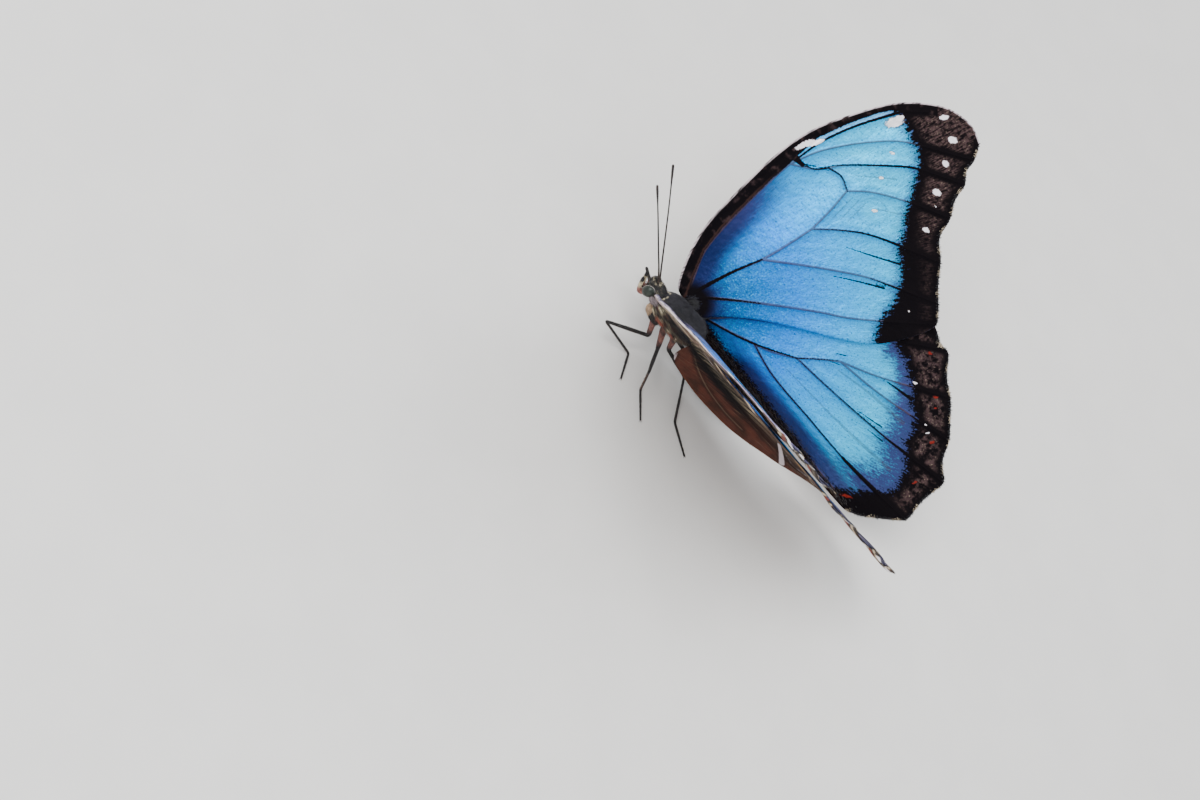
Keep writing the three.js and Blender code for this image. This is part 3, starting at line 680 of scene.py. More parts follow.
def wing_outline(wing, step):
    """The closed outline of a flat wing, its corners slightly rounded."""
    outline = np.vstack([line_through(wing["leading"], step)[:-1], scalloped(wing["tips"], step),
                         line_through(wing["inner"], step)])
    for _ in range(max(1, round(1.5 / step ** 2))):
        outline = (np.roll(outline, 1, axis=0) + 2 * outline + np.roll(outline, -1, axis=0)) / 4
    return outline


def vein_half_width(reach):
    """Half the width of a vein by its distance from the wing's root."""
    return np.clip(0.30 - 0.003 * reach, 0.10, 0.30)


def beside(line, distances):
    """Rows of points along a flat line and at distances to both sides of it."""
    ahead = unit(np.gradient(line, axis=0))
    across = np.stack([-ahead[:, 1], ahead[:, 0]], -1)
    return [line] + [line + across * side * distance[:, None] for distance in distances for side in (-1, 1)]


def wing_mesh(kind, wing, step):
    """Points and triangles of a flat wing, with rows of points along its veins and inked lines."""
    outline = wing_outline(wing, step)
    low, high = outline.min(0), outline.max(0)
    rows, lines = [], []
    for vein in wing["veins"]:
        line = line_through(vein, step)
        half = vein_half_width(np.linalg.norm(line, axis=1))
        rows += beside(line, (half * 0.8, half * 1.5))
        lines.append(line)
    for inked, *_ in INK[kind] + FOLD_LINES[kind]:
        line = line_through(inked, step)
        clear = np.min([to_line(line, vein)[0] for vein in lines[:len(wing["veins"])]], axis=0) > 0.45
        rows += [row[clear] for row in beside(line, (np.full(len(line), 0.2),))]
        lines.append(line)
    columns, levels = np.arange(low[0], high[0], step), np.arange(low[1], high[1], step * 0.866)
    grid = np.array([(x + step / 2 * (row % 2), y) for row, y in enumerate(levels) for x in columns])
    clear = np.min([to_line(grid, line)[0] for line in lines], axis=0)
    grid = grid[clear > vein_half_width(np.linalg.norm(grid, axis=1)) * 1.5 + step * 0.4]
    inner = np.vstack(rows + [grid])
    inner = inner[depth_in(inner, outline) > step * 0.3]
    corners = [Vector(p) for p in np.vstack([outline, inner])]
    points, _, faces, *_ = delaunay_2d_cdt(corners, [], [list(range(len(outline)))], 1, step * 0.05)
    return np.array([tuple(p) for p in points]), [tuple(f) for f in faces], outline


def nearest_spot(points, spots):
    """Distance to the nearest of several turned ellipses, 1 on its rim."""
    best = np.full(len(points), 9.0)
    for tail, out, along, across, turn in spots:
        turn = math.radians(turn)
        offset = points - (tail, out)
        u = offset @ (math.cos(turn), math.sin(turn)) / along
        v = offset @ (-math.sin(turn), math.cos(turn)) / across
        best = np.minimum(best, np.hypot(u, v))
    return best


def nearest_line(points, lines):
    """Distance to the nearest inked line's edge, less than 0 on it."""
    best = np.full(len(points), 9.0)
    for line, first, last in lines:
        distance, share = to_line(points, line_through(line, 0.8))
        best = np.minimum(best, distance - (first + (last - first) * share))
    return best


def wing_fields(kind, wing, points, outline):
    """What the wing's two finishes need to know at each point: distances in millimetres, or shares."""
    tail, out = points.T
    reach = np.linalg.norm(points, axis=1)
    to_vein = np.min([to_line(points, line_through(vein, 0.8))[0] for vein in wing["veins"]], axis=0)
    rim, _ = to_line(points, scalloped(wing["tips"], 0.5))
    edge, _ = to_line(points, np.vstack([outline, outline[:1]]))
    lead, _ = to_line(points, line_through(wing["leading"], 0.8))
    blue = depth_in(points, np.array(BLUE_ZONE[kind]))
    angle = np.arctan2(tail + 6, np.maximum(out + 12, 1))
    flat = np.stack([tail, out, np.zeros(len(points))], -1)
    ray = np.stack([angle * 45, reach, np.zeros(len(points))], -1)
    if kind == "forewing":
        zone = np.vstack([COSTA_LINE, [(-6, 70), (-30, 50), (-30, -10), (-4, -8)]])
        costa = depth_in(points, zone)
        wash = smooth(costa, -8.5, -0.5) * smooth(-reach, -46, -16)
        fringe = 0.5 * smooth(reach, 28, 42) * smooth(-blue, -3.6, -0.2)
        panel = smooth(reach, 47, 55) * smooth(-blue, 1.4, 4.0) * smooth(rim, 0.9, 2.6)
    else:
        costa = -out - 2.0
        wash = 0.9 * smooth(-out, -4.6, 0.6) * smooth(tail, 8, 20)
        fringe = smooth(-blue, -5.5 - 7.0 * smooth(tail, 38, 52), 0.4) * smooth(out, 0, 3)
        panel = 0.9 * smooth(-blue, 1.2, 3.4) * smooth(rim, 0.7, 2.4) * smooth(out, 4, 10)
    depth = np.interp(tail, [5, 12, 18, 25, 31, 37, 43, 50], [7, 10.1, 10.7, 9.9, 8.2, 6, 4.4, 3.5])
    wash = np.maximum(wash, smooth(-reach, -11, -2) * 0.95)
    tick = np.min(np.linalg.norm(points[:, None] - np.array(TICKS[kind]), axis=2), axis=1)
    fields = {
        "flat": flat, "ray": ray, "reach": reach, "vein": to_vein - vein_half_width(reach), "rim": rim,
        "edge": edge, "lead": lead, "blue": blue, "costa": costa, "wash": wash, "fringe": fringe,
        "tick": tick, "panel": panel, "inward": -out * 10 / depth,
    }
    for name, lines in (("stripe", STRIPES), ("ink", INK), ("crease_shade", FOLD_LINES), ("band", PALE_BANDS)):
        fields[name] = nearest_line(points, lines[kind])
    for name, spots in (("spot", SPOTS), ("red", REDS), ("glow", CRESCENTS), ("eyespot", EYESPOTS)):
        fields[name] = nearest_spot(points, spots[kind])
    return fields


def upper_finish(kind, settings):
    """Metallic blue scales with black veins, a dark mottled border and white spots."""
    finish = Finish(kind + "_upper", Specular_IOR_Level=0.06, Sheen_Weight=0.5, Sheen_Roughness=0.25,
                    Sheen_Tint=(0.6, 0.55, 0.9, 1.0))
    field, soft, over, plus, times = finish.field, finish.soft, finish.over, finish.plus, finish.times
    flat, ray = field("flat", "Vector"), field("ray", "Vector")
    reach, vein = field("reach"), field("vein")
    dust = finish.noise(flat, 2.3, 2.0, 0.75)
    grain = finish.noise(flat, 1.5, 2.0, 0.6)
    patches = finish.noise(flat, 0.5, 3.0)
    streaks = finish.noise(finish.stretch(ray, (1.9, 0.22, 1.0)), 1.0, 2.0)
    fine_streaks = finish.noise(finish.stretch(ray, (5.0, 0.5, 1.0)), 1.0, 1.0)
    speckle = plus(times(dust, 0.75), fine_streaks, 0.5)

    # the blue, from the root outward
    stops = ((0.0, settings.navy), (0.06, settings.navy), (0.18, settings.azure), (0.36, settings.sky),
             (0.52, settings.pale), (0.74, settings.ice), (1.0, settings.ice))
    blue = finish.ramp(finish.math("DIVIDE", plus(reach, patches, 1.5), 62.0), stops)
    # The vein entry below paints shade: the blue turns darker azure within 1.6 mm of each vein.
    for value, low, high, share, colour in (
            (streaks, 0.0, 1.5, 0.35, settings.azure), (vein, 1.6, 0.0, 0.4, settings.azure),
            (dust, 0.1, 0.9, 0.4, settings.ice), (dust, -0.1, -0.9, 0.65, settings.azure),
            (dust, -0.75, -1.2, 0.75, settings.navy)):
        blue = over(blue, colour, value, low, high, share)
    if kind == "forewing":
        glint = times(soft(field("costa"), -1.2, -0.8), soft(reach, 40.0, 44.0, 0.0, 0.28))
        blue = finish.mix(glint, blue, settings.lilac)
    root = over(settings.navy, settings.violet, reach, 10.0, 26.0, 0.75)
    blue = over(blue, root, plus(field("wash"), speckle, 0.12), 0.06, 0.9, 0.97)
    glow = plus(field("glow"), grain, 0.06)
    blue = over(blue, (0.02, 0.6, 1.0), glow, 1.1, 0.3, 0.5)
    blue = over(blue, settings.violet, finish.away(glow, 1.05), 0.12, 0.02, 0.2)
    blue = over(blue, settings.violet, plus(field("fringe"), speckle, 0.4), 0.1, 0.9, 0.97)
    # painted shade along the fold lines between the veins
    blue = over(blue, settings.brown, plus(field("crease_shade"), dust, 0.07), 0.16, 0.0, 0.4)
    blue = over(blue, settings.brown, vein, 0.12, -0.04, 0.72)

    # the dark border and the front band
    if kind == "forewing":
        mottle = soft(plus(times(fine_streaks, 0.6), grain, 0.5), -0.6, 0.8)
    else:
        mottle = soft(plus(times(patches, 1.1), grain, 0.6), -0.6, 0.9)
    panel = times(field("panel"), soft(vein, 0.35, 1.3))
    dusty = over(settings.brown, settings.cream, dust, 0.2, 1.5, 0.5)
    dark = finish.mix(times(panel, mottle), settings.black, dusty)
    costa = plus(field("costa"), speckle, 0.14)
    if kind == "forewing":
        band = soft(costa, -0.1, 0.1)
        seam = times(times(soft(costa, 0.05, 0.2), soft(costa, 0.6, 0.4)), soft(reach, 34.0, 24.0, 0.0, 0.6))
        strip = over(settings.black, settings.brown, patches, 0.1, 1.4, 0.6)
        strip = finish.mix(seam, strip, (0.045, 0.022, 0.018))
    else:
        band = soft(costa, 0.0, 1.6)
        strip = over(settings.black, settings.umber, patches, -0.6, 1.2)
    dark = finish.mix(band, dark, strip)
    cover = soft(plus(plus(field("blue"), streaks, 0.5), speckle, 1.3), 0.22, -0.22)
    for other in (band, soft(plus(field("ink"), dust, 0.09), 0.14, -0.02), soft(reach, 6.0, 3.0)):
        cover = finish.math("MAXIMUM", cover, other)
    colour = finish.mix(cover, blue, dark)

    # the marks over both
    ragged = plus(times(dust, 0.12), grain, 0.18)
    spot = plus(field("spot"), ragged)
    colour = over(colour, settings.brown, spot, 1.3, 1.1, 0.5)
    colour = over(colour, settings.white, spot, 1.08, 0.84)
    colour = over(colour, settings.red, plus(field("red"), ragged, 1.4), 1.1, 0.6, 0.75)
    if kind == "forewing":
        # painted highlight: a pale pinkish-white line along the front edge, broken by the streaks
        lead = times(soft(field("lead"), 0.4, 0.12), soft(streaks, -1.0, 0.4))
        colour = finish.mix(times(lead, 0.8), colour, settings.edge)
    finish.put(times(finish.math("SUBTRACT", 1.0, cover), 0.42), finish.shader.inputs["Metallic"])
    finish.put(soft(cover, 0.0, 1.0, 0.4, 0.8), finish.shader.inputs["Roughness"])
    finish.bump(plus(plus(times(patches, 0.8), dust, 0.1), fine_streaks, 0.15), 0.00014, 0.6)
    return finish.paint(colour)


def under_finish(kind, settings):
    """Bronze-brown scales with cream bands, ringed eyespots and wavy lines along the margin."""
    finish = Finish(kind + "_under", roughness=0.65, Specular_IOR_Level=0.2)
    field, soft, over, plus, times = finish.field, finish.soft, finish.over, finish.plus, finish.times
    flat, ray = field("flat", "Vector"), field("ray", "Vector")
    reach, vein = field("reach"), field("vein")
    grain = finish.noise(flat, 3.0, 2.0, 0.6)
    patches = finish.noise(flat, 0.3, 3.0)
    streaks = finish.noise(finish.stretch(ray, (1.7, 0.14, 1.0)), 1.0, 3.0)
    ground = over(settings.umber, settings.bronze, patches, -0.8, 0.9)
    ground = over(ground, settings.cream, streaks, 0.1, 1.3, 0.4)
    ground = over(ground, settings.umber, streaks, -0.2, -1.3, 0.6)
    ground = over(ground, settings.umber, grain, 0.0, 1.4, 0.3)
    band = plus(plus(field("band"), patches, 0.3), grain, 0.22)
    ground = over(ground, settings.umber, band, 1.3, 0.5, 0.7)
    ground = over(ground, settings.cream, band, 0.35, -0.1)
    rim = plus(field("rim"), streaks, 0.3)
    for middle, half, colour, share in ((4.9, 0.4, settings.umber, 0.8), (4.0, 0.35, settings.cream, 0.8),
                                        (2.9, 0.45, settings.red, 0.55), (2.1, 0.3, settings.umber, 0.9),
                                        (1.4, 0.28, settings.cream, 0.85), (0.4, 0.4, settings.umber, 0.9)):
        ground = over(ground, colour, finish.away(rim, middle), half + 0.15, half - 0.1, share)
    ring = plus(field("eyespot"), grain, 0.03)
    for outer, colour in ((1.42, settings.cream), (1.3, settings.umber), (1.0, settings.ochre),
                          (0.68, settings.black), (0.2, settings.white)):
        ground = over(ground, colour, ring, outer + 0.05, outer - 0.05, 0.95)
    ground = over(ground, settings.bronze, vein, 0.12, -0.08, 0.75)
    stripe = plus(field("stripe"), grain, 0.07)
    if kind == "hindwing":  # the dark gutter and the russet fold along the abdomen
        inward = plus(plus(field("inward"), streaks, 0.8), grain, 0.25)
        # painted shade in the concave bend beside the abdomen: a dark mottled band, redder further out, with
        # pale strands over it
        painted_shade = over(settings.black, settings.umber, grain, 0.3, 1.8, 0.5)
        painted_shade = over(painted_shade, (0.035, 0.012, 0.008), reach, 20.0, 32.0, 0.8)
        strands = finish.noise(finish.stretch(ray, (2.2, 0.06, 1.0)), 1.0, 1.0)
        strands = times(soft(strands, 0.0, 0.7, 0.0, 0.6), soft(inward, 2.6, 0.4))
        painted_shade = finish.mix(times(strands, soft(reach, 46.0, 26.0)), painted_shade, settings.cream)
        fold = over((0.05, 0.02, 0.013), settings.russet, patches, -1.2, 0.8)
        fold = over(fold, settings.cream, streaks, 0.4, 1.6, 0.3)
        fold = over(fold, settings.umber, vein, 0.9, 0.3, 0.5)
        fold = over(fold, settings.cream, vein, -0.06, -0.18, 0.13)
        panel = over(painted_shade, fold, inward, 3.4, 5.6)
        hem = times(soft(field("edge"), 0.5, 0.1, 0.0, 0.5), soft(reach, 13.0, 16.0))
        panel = finish.mix(hem, panel, (0.25, 0.09, 0.04))
        ground = finish.mix(times(soft(inward, -3.4, -2.4), soft(reach, 52.0, 40.0)), ground, panel)
        ground = over(ground, settings.umber, stripe, 0.9, 0.3, 0.5)
        ground = over(ground, settings.edge, stripe, 0.12, -0.12, 0.75)
    else:  # the streaked front edge
        lead = plus(field("lead"), streaks, 0.2)
        stripes = times(soft(lead, 4.5, 1.6, 0.0, 0.6), soft(streaks, -0.6, 0.8))
        ground = finish.mix(times(stripes, soft(reach, 58.0, 44.0)), ground, settings.cream)
        ground = over(ground, settings.umber, stripe, 0.5, 0.16, 0.6)
        ground = over(ground, settings.cream, stripe, 0.1, -0.06, 0.7)
        hem = times(soft(field("rim"), 2.6, 1.6), soft(reach, 44.0, 50.0, 0.0, 0.8))
        ground = finish.mix(hem, ground, settings.umber)
        glint = over((0.34, 0.24, 0.25), settings.edge, reach, 28.0, 36.0)
        glint = over(glint, settings.lilac, reach, 52.0, 58.0)
        ground = over(ground, glint, lead, 0.85, 0.45)
    ground = over(ground, settings.white, plus(field("tick"), grain, 0.14), 1.1, 0.8)
    finish.bump(plus(times(streaks, 0.7), grain, 0.1), 0.00014, 0.6)
    return finish.paint(ground)


UNWRAP = 0.0066  # share of the unwrap's width that a millimetre of a wing takes


def build_wing(kind, label, settings):
    """One wing as a thin closed sheet with its veins raised on both faces."""
    wing, side = WINGS[kind], SIDES[label]
    step = settings.mesh_step / MM
    flat, faces, outline = wing_mesh(kind, wing, step)
    fields = wing_fields(kind, wing, flat, outline)
    reach, edge = fields["reach"], fields["edge"]
    half = vein_half_width(reach)
    crest = np.sqrt(np.clip(1 - ((fields["vein"] + half) / (half * 1.5)) ** 2, 0, 1))
    thick = settings.membrane / MM / 2 + settings.vein_rise / MM * crest * np.sqrt(half / 0.3)
    thick = thick + 0.2 * smooth(4 - reach, 0, 4)
    taper = np.sqrt(np.clip(edge / 0.5, 0, 1))  # rounds the edge off
    crown = 0.0
    if kind == "forewing":  # the stout front edge
        lead = -fields["lead"]
        thick = thick + 0.16 * smooth(lead, -1.3, -0.4) * smooth(-reach, -60, -6)
        crown = 0.4 * smooth(lead, -1.5, -0.5) * taper * smooth(-reach, -60, -30)
    thick = 0.03 + (thick - 0.03) * taper
    wave = wing_wave(kind, flat, fields)
    upper = on_wing(kind, side, flat, wave + thick + crown)
    under = on_wing(kind, side, flat, wave - thick)
    count = len(flat)
    backs = [tuple(i + count for i in reversed(face)) for face in faces]
    skirts = [(a + count, b + count, b, a) for a, b in boundary_loop(faces)]
    obj = add_solid(f"{kind}_{label}_skin", np.vstack([upper, under]), faces + backs + skirts,
                    shared(upper_finish, kind, settings),
                    {name: np.concatenate([values, values]) for name, values in fields.items()})
    obj.data.materials.append(shared(under_finish, kind, settings))
    obj.data.polygons.foreach_set("material_index", [0] * len(faces) + [1] * (len(backs) + len(skirts)))
    unwrapped = (flat - flat.min(0)) * UNWRAP + 0.01
    add_uv(obj, "OFBake", np.vstack([unwrapped, unwrapped + (0.5, 0)]))
    keep(obj, kind, f"{kind}_{label}")
    wing_coat(kind, label, flat, faces, fields, wave + thick)


def wing_wave(kind, flat, fields):
    """Height of the slack membrane over the flat wing, ruffled along the outer margin."""
    tail, out = flat.T
    slack = smooth(fields["vein"], 0, 2.4) * smooth(fields["edge"], 0.5, 4)
    wave = 0.14 * np.sin(tail * 0.31 + out * 0.13) * np.sin(out * 0.23 + 1.0)
    ruffle = {"forewing": 0.4, "hindwing": 0.46}[kind] * smooth(-fields["rim"], -7, -0.4)
    ruffle = ruffle * np.sin(fields["ray"][:, 0] * 0.85 + 0.4)
    return (wave - 0.16 * slack) * smooth(fields["reach"], 4, 14) + ruffle


def wing_coat(kind, label, flat, faces, fields, over):
    """Hair over the wing's root and inner margin, and the fringe of long scales along its edge."""
    side = SIDES[label]
    coats = bpy.context.scene.butterfly_body
    wings = bpy.context.scene.butterfly_wings
    hair = shared(hair_finish, kind + "_hair", 0.7, 0.015)
    reach, edge = fields["reach"], fields["edge"]
    tail, out = flat.T
    points = on_wing(kind, side, flat, over)
    facing = unit(on_wing(kind, side, flat, over + 0.5) - points)

    def lie(step_tail, step_out):
        moved = flat + np.stack(np.broadcast_arrays(step_tail, step_out), -1).reshape(-1, 2) * 0.1
        return unit(on_wing(kind, side, moved, over) - points)

    def grow(name, cover, length, comb, tint, density, breadth, lift, spread, seed):
        near = cover > 0
        used = [face for face in faces if near[list(face)].any()]
        index = sorted({i for face in used for i in face})
        moved = {old: new for new, old in enumerate(index)}
        extent = flat[index] - flat[index].min(0)
        places = 0.02 + 0.94 * extent / extent.max()
        base = (points[index], [tuple(moved[i] for i in face) for face in used], {
            "cover": cover[index], "length": length[index] * MM, "comb": comb[index], "facing": facing[index],
            "tint": tint[index], "root_uv": np.hstack([places, np.zeros((len(index), 1))])})
        grow_coat(f"{kind}_{label}_{name}", base, hair, kind, density, breadth, lift, spread, seed)

    root = smooth(-reach, -2.0, -0.8) if kind == "forewing" else smooth(-reach, -6.0, -2.0)
    grow("root_hair", root, 0.35 + 0.3 * root, lie(0.35, 1.0),
         blend(root, np.array(wings.navy) * 0.4, coats.soot), 40 * coats.coat, 0.09, 0.06, 0.16, 3 + side)
    if kind == "hindwing":
        inner = smooth(-out, 0.9, 2.8) * smooth(edge, 0.0, 0.3) * smooth(reach, 4, 8)
        grow("inner_hair", inner, np.full(len(tail), 0.8), lie(1.0, -0.15),
             blend(inner, wings.black, wings.umber), 6 * coats.coat, 0.09, 0.05, 0.12, 7 + side)
    ends = scalloped(WINGS[kind]["tips"], 0.5)
    _, share = to_line(flat, ends)
    white = smooth(np.abs(np.sin(share * math.pi * (len(WINGS[kind]["tips"]) - 1) * 1.5)), 0.82, 0.97)
    fringe = smooth(-fields["rim"], -0.5, -0.2) * smooth(reach, 20, 24)
    middle = np.array([12.0, 20.0]) if kind == "forewing" else np.array([35.0, 10.0])
    away = unit(flat - middle)
    grow("fringe", fringe, np.full(len(tail), 0.42), lie(away[:, 0], away[:, 1]),
         blend(white * 0.7, wings.black, wings.cream), 34 * coats.coat, 0.13, 0.0, 0.22, 13 + side)


def boundary_loop(faces):
    """The edges that belong to one face only, in that face's direction."""
    edges = {}
    for face in faces:
        for a, b in zip(face, face[1:] + face[:1]):
            if (b, a) in edges:
                del edges[(b, a)]
            else:
                edges[(a, b)] = True
    return list(edges)


class BUTTERFLY_OT_wings(bpy.types.Operator):
    """Build the four wings with their veins and scales"""
    bl_idname = "butterfly.wings"
    bl_label = "Wings"

    def execute(self, context):
        for kind in WINGS:
            for label in SIDES:
                build_wing(kind, label, context.scene.butterfly_wings)
        return {"FINISHED"}


# ---------------------------------------------------------------- coat
def blade():
    """A three-sided spike one unit long, wide and deep, which every hair is scaled from."""
    levels = ((0.0, 0.5, 0.0), (0.55, 0.42, 0.12))
    points, uvs = [], []
    for y, half, rise in levels:
        points += [(-half, y, rise), (half, y, rise), (0, y, rise + half)]
        uvs += [(0.0, y, 0), (1.0, y, 0), (0.5, y, 0)]
    points.append((0, 1, 0.1))
    uvs.append((0.5, 1, 0))
    faces = [(0, 2, 1)]
    for i in range(3):
        j = (i + 1) % 3
        faces += [(i, j, j + 3, i + 3), (i + 3, j + 3, 6)]
    points = np.array(points, float)
    return add_solid("blade", points, faces, None, {"blade_uv": np.array(uvs), "tip": points[:, 1]})


def coat_tree(name, shape, material):
    """A node tree that grows blades on a sheet by the sheet's own fields of cover, lie and length."""
    tree = bpy.data.node_groups.new(name, "GeometryNodeTree")
    tree.is_modifier = True
    face = tree.interface
    face.new_socket(name="Geometry", in_out="OUTPUT", socket_type="NodeSocketGeometry")
    face.new_socket(name="Geometry", in_out="INPUT", socket_type="NodeSocketGeometry")
    for socket in ("Density", "Lift", "Spread", "Breadth"):
        face.new_socket(name=socket, in_out="INPUT", socket_type="NodeSocketFloat")
    face.new_socket(name="Seed", in_out="INPUT", socket_type="NodeSocketInt")
    given, result = tree.nodes.new("NodeGroupInput"), tree.nodes.new("NodeGroupOutput")

    def add(kind, inputs, **settings):
        """A node with its settings and with its inputs linked or set."""
        node = tree.nodes.new(kind)
        for setting, value in settings.items():
            setattr(node, setting, value)
        for socket, value in inputs.items():
            if isinstance(value, bpy.types.NodeSocket):
                tree.links.new(value, node.inputs[socket])
            else:
                node.inputs[socket].default_value = value
        return node

    def field(kind, attribute):
        node = add("GeometryNodeInputNamedAttribute", {"Name": attribute}, data_type=kind)
        return node.outputs["Attribute"]

    def math_node(operation, a, b):
        return add("ShaderNodeMath", {0: a, 1: b}, operation=operation).outputs[0]

    def vector_node(operation, a, b):
        second = "Scale" if operation == "SCALE" else 1
        return add("ShaderNodeVectorMath", {0: a, second: b}, operation=operation).outputs[0]

    def random(kind, low, high, salt):
        minimum, maximum, output = {"FLOAT": (2, 3, 1), "FLOAT_VECTOR": (0, 1, 0)}[kind]
        seed = math_node("ADD", given.outputs["Seed"], float(salt))
        return add("FunctionNodeRandomValue", {minimum: low, maximum: high, "Seed": seed},
                   data_type=kind).outputs[output]

    spread = add("GeometryNodeDistributePointsOnFaces", {
        "Mesh": given.outputs["Geometry"], "Seed": given.outputs["Seed"],
        "Density": math_node("MULTIPLY", given.outputs["Density"], field("FLOAT", "cover"))})
    facing = field("FLOAT_VECTOR", "facing")
    lean = vector_node("SCALE", facing, given.outputs["Lift"])
    stray = vector_node("SCALE", random("FLOAT_VECTOR", (-1, -1, -1), (1, 1, 1), 11), given.outputs["Spread"])
    direction = vector_node("ADD", vector_node("ADD", field("FLOAT_VECTOR", "comb"), lean), stray)
    turn = add("FunctionNodeAxesToRotation", {0: direction, 1: facing}, primary_axis="Y", secondary_axis="Z")
    length = math_node("MULTIPLY", field("FLOAT", "length"), random("FLOAT", 0.6, 1.25, 23))
    breadth = math_node("MULTIPLY", given.outputs["Breadth"], random("FLOAT", 0.7, 1.3, 31))
    size = add("ShaderNodeCombineXYZ", {0: breadth, 1: length, 2: math_node("MULTIPLY", breadth, 0.6)})
    info = add("GeometryNodeObjectInfo", {"Object": shape})
    grow = add("GeometryNodeInstanceOnPoints", {
        "Points": spread.outputs["Points"], "Instance": info.outputs["Geometry"],
        "Rotation": turn.outputs[0], "Scale": size.outputs[0]})
    shade = add("GeometryNodeStoreNamedAttribute", {
        "Geometry": grow.outputs[0], "Name": "shade", "Value": random("FLOAT", 0.0, 1.0, 47)},
        data_type="FLOAT", domain="INSTANCE")
    real = add("GeometryNodeRealizeInstances", {0: shade.outputs[0]})
    patch = vector_node("SCALE", field("FLOAT_VECTOR", "blade_uv"), 0.003)
    bake = add("GeometryNodeStoreNamedAttribute", {
        "Geometry": real.outputs[0], "Name": "OFBake",
        "Value": vector_node("ADD", patch, field("FLOAT_VECTOR", "root_uv"))},
        data_type="FLOAT2", domain="CORNER")
    paint = add("GeometryNodeSetMaterial", {"Geometry": bake.outputs[0], "Material": material})
    tree.links.new(paint.outputs[0], result.inputs[0])
    return tree


def grow_coat(name, base, material, slot, density, breadth, lift=0.25, spread=0.2, seed=1):
    """Grows a coat on a sheet and leaves it as a plain mesh; density is in hairs for a square millimetre."""
    points, faces, fields = base
    ground = add_mesh(name + "_sheet", points, faces, None, fields)
    shape = blade()
    tree = coat_tree(name + "_growth", shape, material)
    modifier = ground.modifiers.new("growth", "NODES")
    modifier.node_group = tree
    sockets = {item.name: item.identifier for item in tree.interface.items_tree if item.in_out == "INPUT"}
    values = {"Density": density / MM ** 2, "Lift": lift, "Spread": spread, "Breadth": breadth * MM,
              "Seed": seed}
    for socket, value in values.items():
        modifier[sockets[socket]] = value
    bpy.context.view_layer.update()
    graph = bpy.context.evaluated_depsgraph_get()
    mesh = bpy.data.meshes.new_from_object(ground.evaluated_get(graph))
    ground.modifiers.clear()
    for extra in (ground, shape):
        bpy.data.objects.remove(extra)
    bpy.data.node_groups.remove(tree)
    if not mesh.polygons:
        raise RuntimeError(f"{name} grew nothing")
    for unused in ("comb", "facing", "cover", "length", "root_uv", "blade_uv"):
        if unused in mesh.attributes:
            mesh.attributes.remove(mesh.attributes[unused])
    mesh.name = name
    mesh.polygons.foreach_set("use_smooth", [True] * len(mesh.polygons))
    obj = bpy.data.objects.new(name, mesh)
    bpy.context.scene.collection.objects.link(obj)
    keep(obj, slot)
    print(name, len(mesh.polygons))


def hairy_tube(name, slot, shape, tint, skin, hair, length, density, *nodes):
    """A round-ended tube with hair lying along it; tint gives its colours along the line."""
    shape, hint = rounded(*shape), (0, 1, 0)
    points, faces, along, _ = tube(*shape, 20, hint)
    keep(add_solid(name + "_skin", place_all(points), faces, skin, {"tint": tint(along)}), slot, *nodes)
    points, faces, along, fields = body_sheet(shape, 20, hint)
    fields.update(tint=tint(along), cover=np.ones(len(along)), length=np.full(len(along), length * MM))
    grow_coat(name + "_scales", (place_all(points), faces, fields), hair, slot, density, 0.08, 0.2, 0.2,
              len(name))


def hair_finish(name, roughness=0.7, frost=0.06):
    """Hairs in the colour of the skin they grow from, each a little lighter or darker, with paler tips."""
    finish = Finish(name, roughness=roughness, Specular_IOR_Level=0.3, Sheen_Weight=0.15)
    shade = finish.soft(finish.field("shade"), 0.0, 1.0, 0.35, 1.6)
    colour = finish.mix(1.0, finish.field("tint", "Color"), shade, "MULTIPLY")
    return finish.paint(finish.over(colour, (0.27, 0.26, 0.3), finish.field("tip"), 0.2, 1.0, frost))


def skin_finish(name, roughness=0.75, relief=0.00004):
    """Skin in its own markings with a fine downy grain."""
    finish = Finish(name, roughness=roughness, Specular_IOR_Level=0.3, Sheen_Weight=0.1)
    down = finish.noise(finish.place(), 9000.0, 2.0)
    finish.bump(down, relief, 0.6)
    dark = finish.soft(down, -1.0, 1.0, 0.1, 0.5)
    return finish.paint(finish.mix(dark, finish.field("tint", "Color"), (0.01, 0.008, 0.008)))


# ---------------------------------------------------------------- head, thorax and abdomen
SECTIONS = [  # tail, up, half width, half height, all under the coat
    (-9.35, -1.7, .25, .3), (-9.1, -1.65, .8, 1.0), (-8.5, -1.55, 1.3, 1.65), (-7.6, -1.5, 1.55, 2.0),
    (-6.7, -1.55, 1.45, 1.8), (-6.0, -1.75, 1.2, 1.35), (-5.5, -1.95, 1.7, 1.9), (-4.6, -2.1, 2.45, 2.9),
    (-3, -2.2, 2.9, 3.55), (-.5, -2.2, 3.0, 3.75), (2.2, -2.2, 2.95, 3.65), (4.6, -2.3, 2.4, 2.8),
    (5.9, -2.45, 1.7, 1.85), (7, -2.6, 1.55, 1.65), (9, -2.95, 1.8, 1.85), (12, -3.35, 1.92, 2.0),
    (16, -4.2, 1.85, 1.95), (20, -5.2, 1.55, 1.65), (23.5, -6.35, 1.2, 1.3), (25.6, -7.15, .8, .85),
    (26.4, -7.45, .3, .3),
]
ABDOMEN_FROM = 6.6
RINGS = 7  # segments of the abdomen
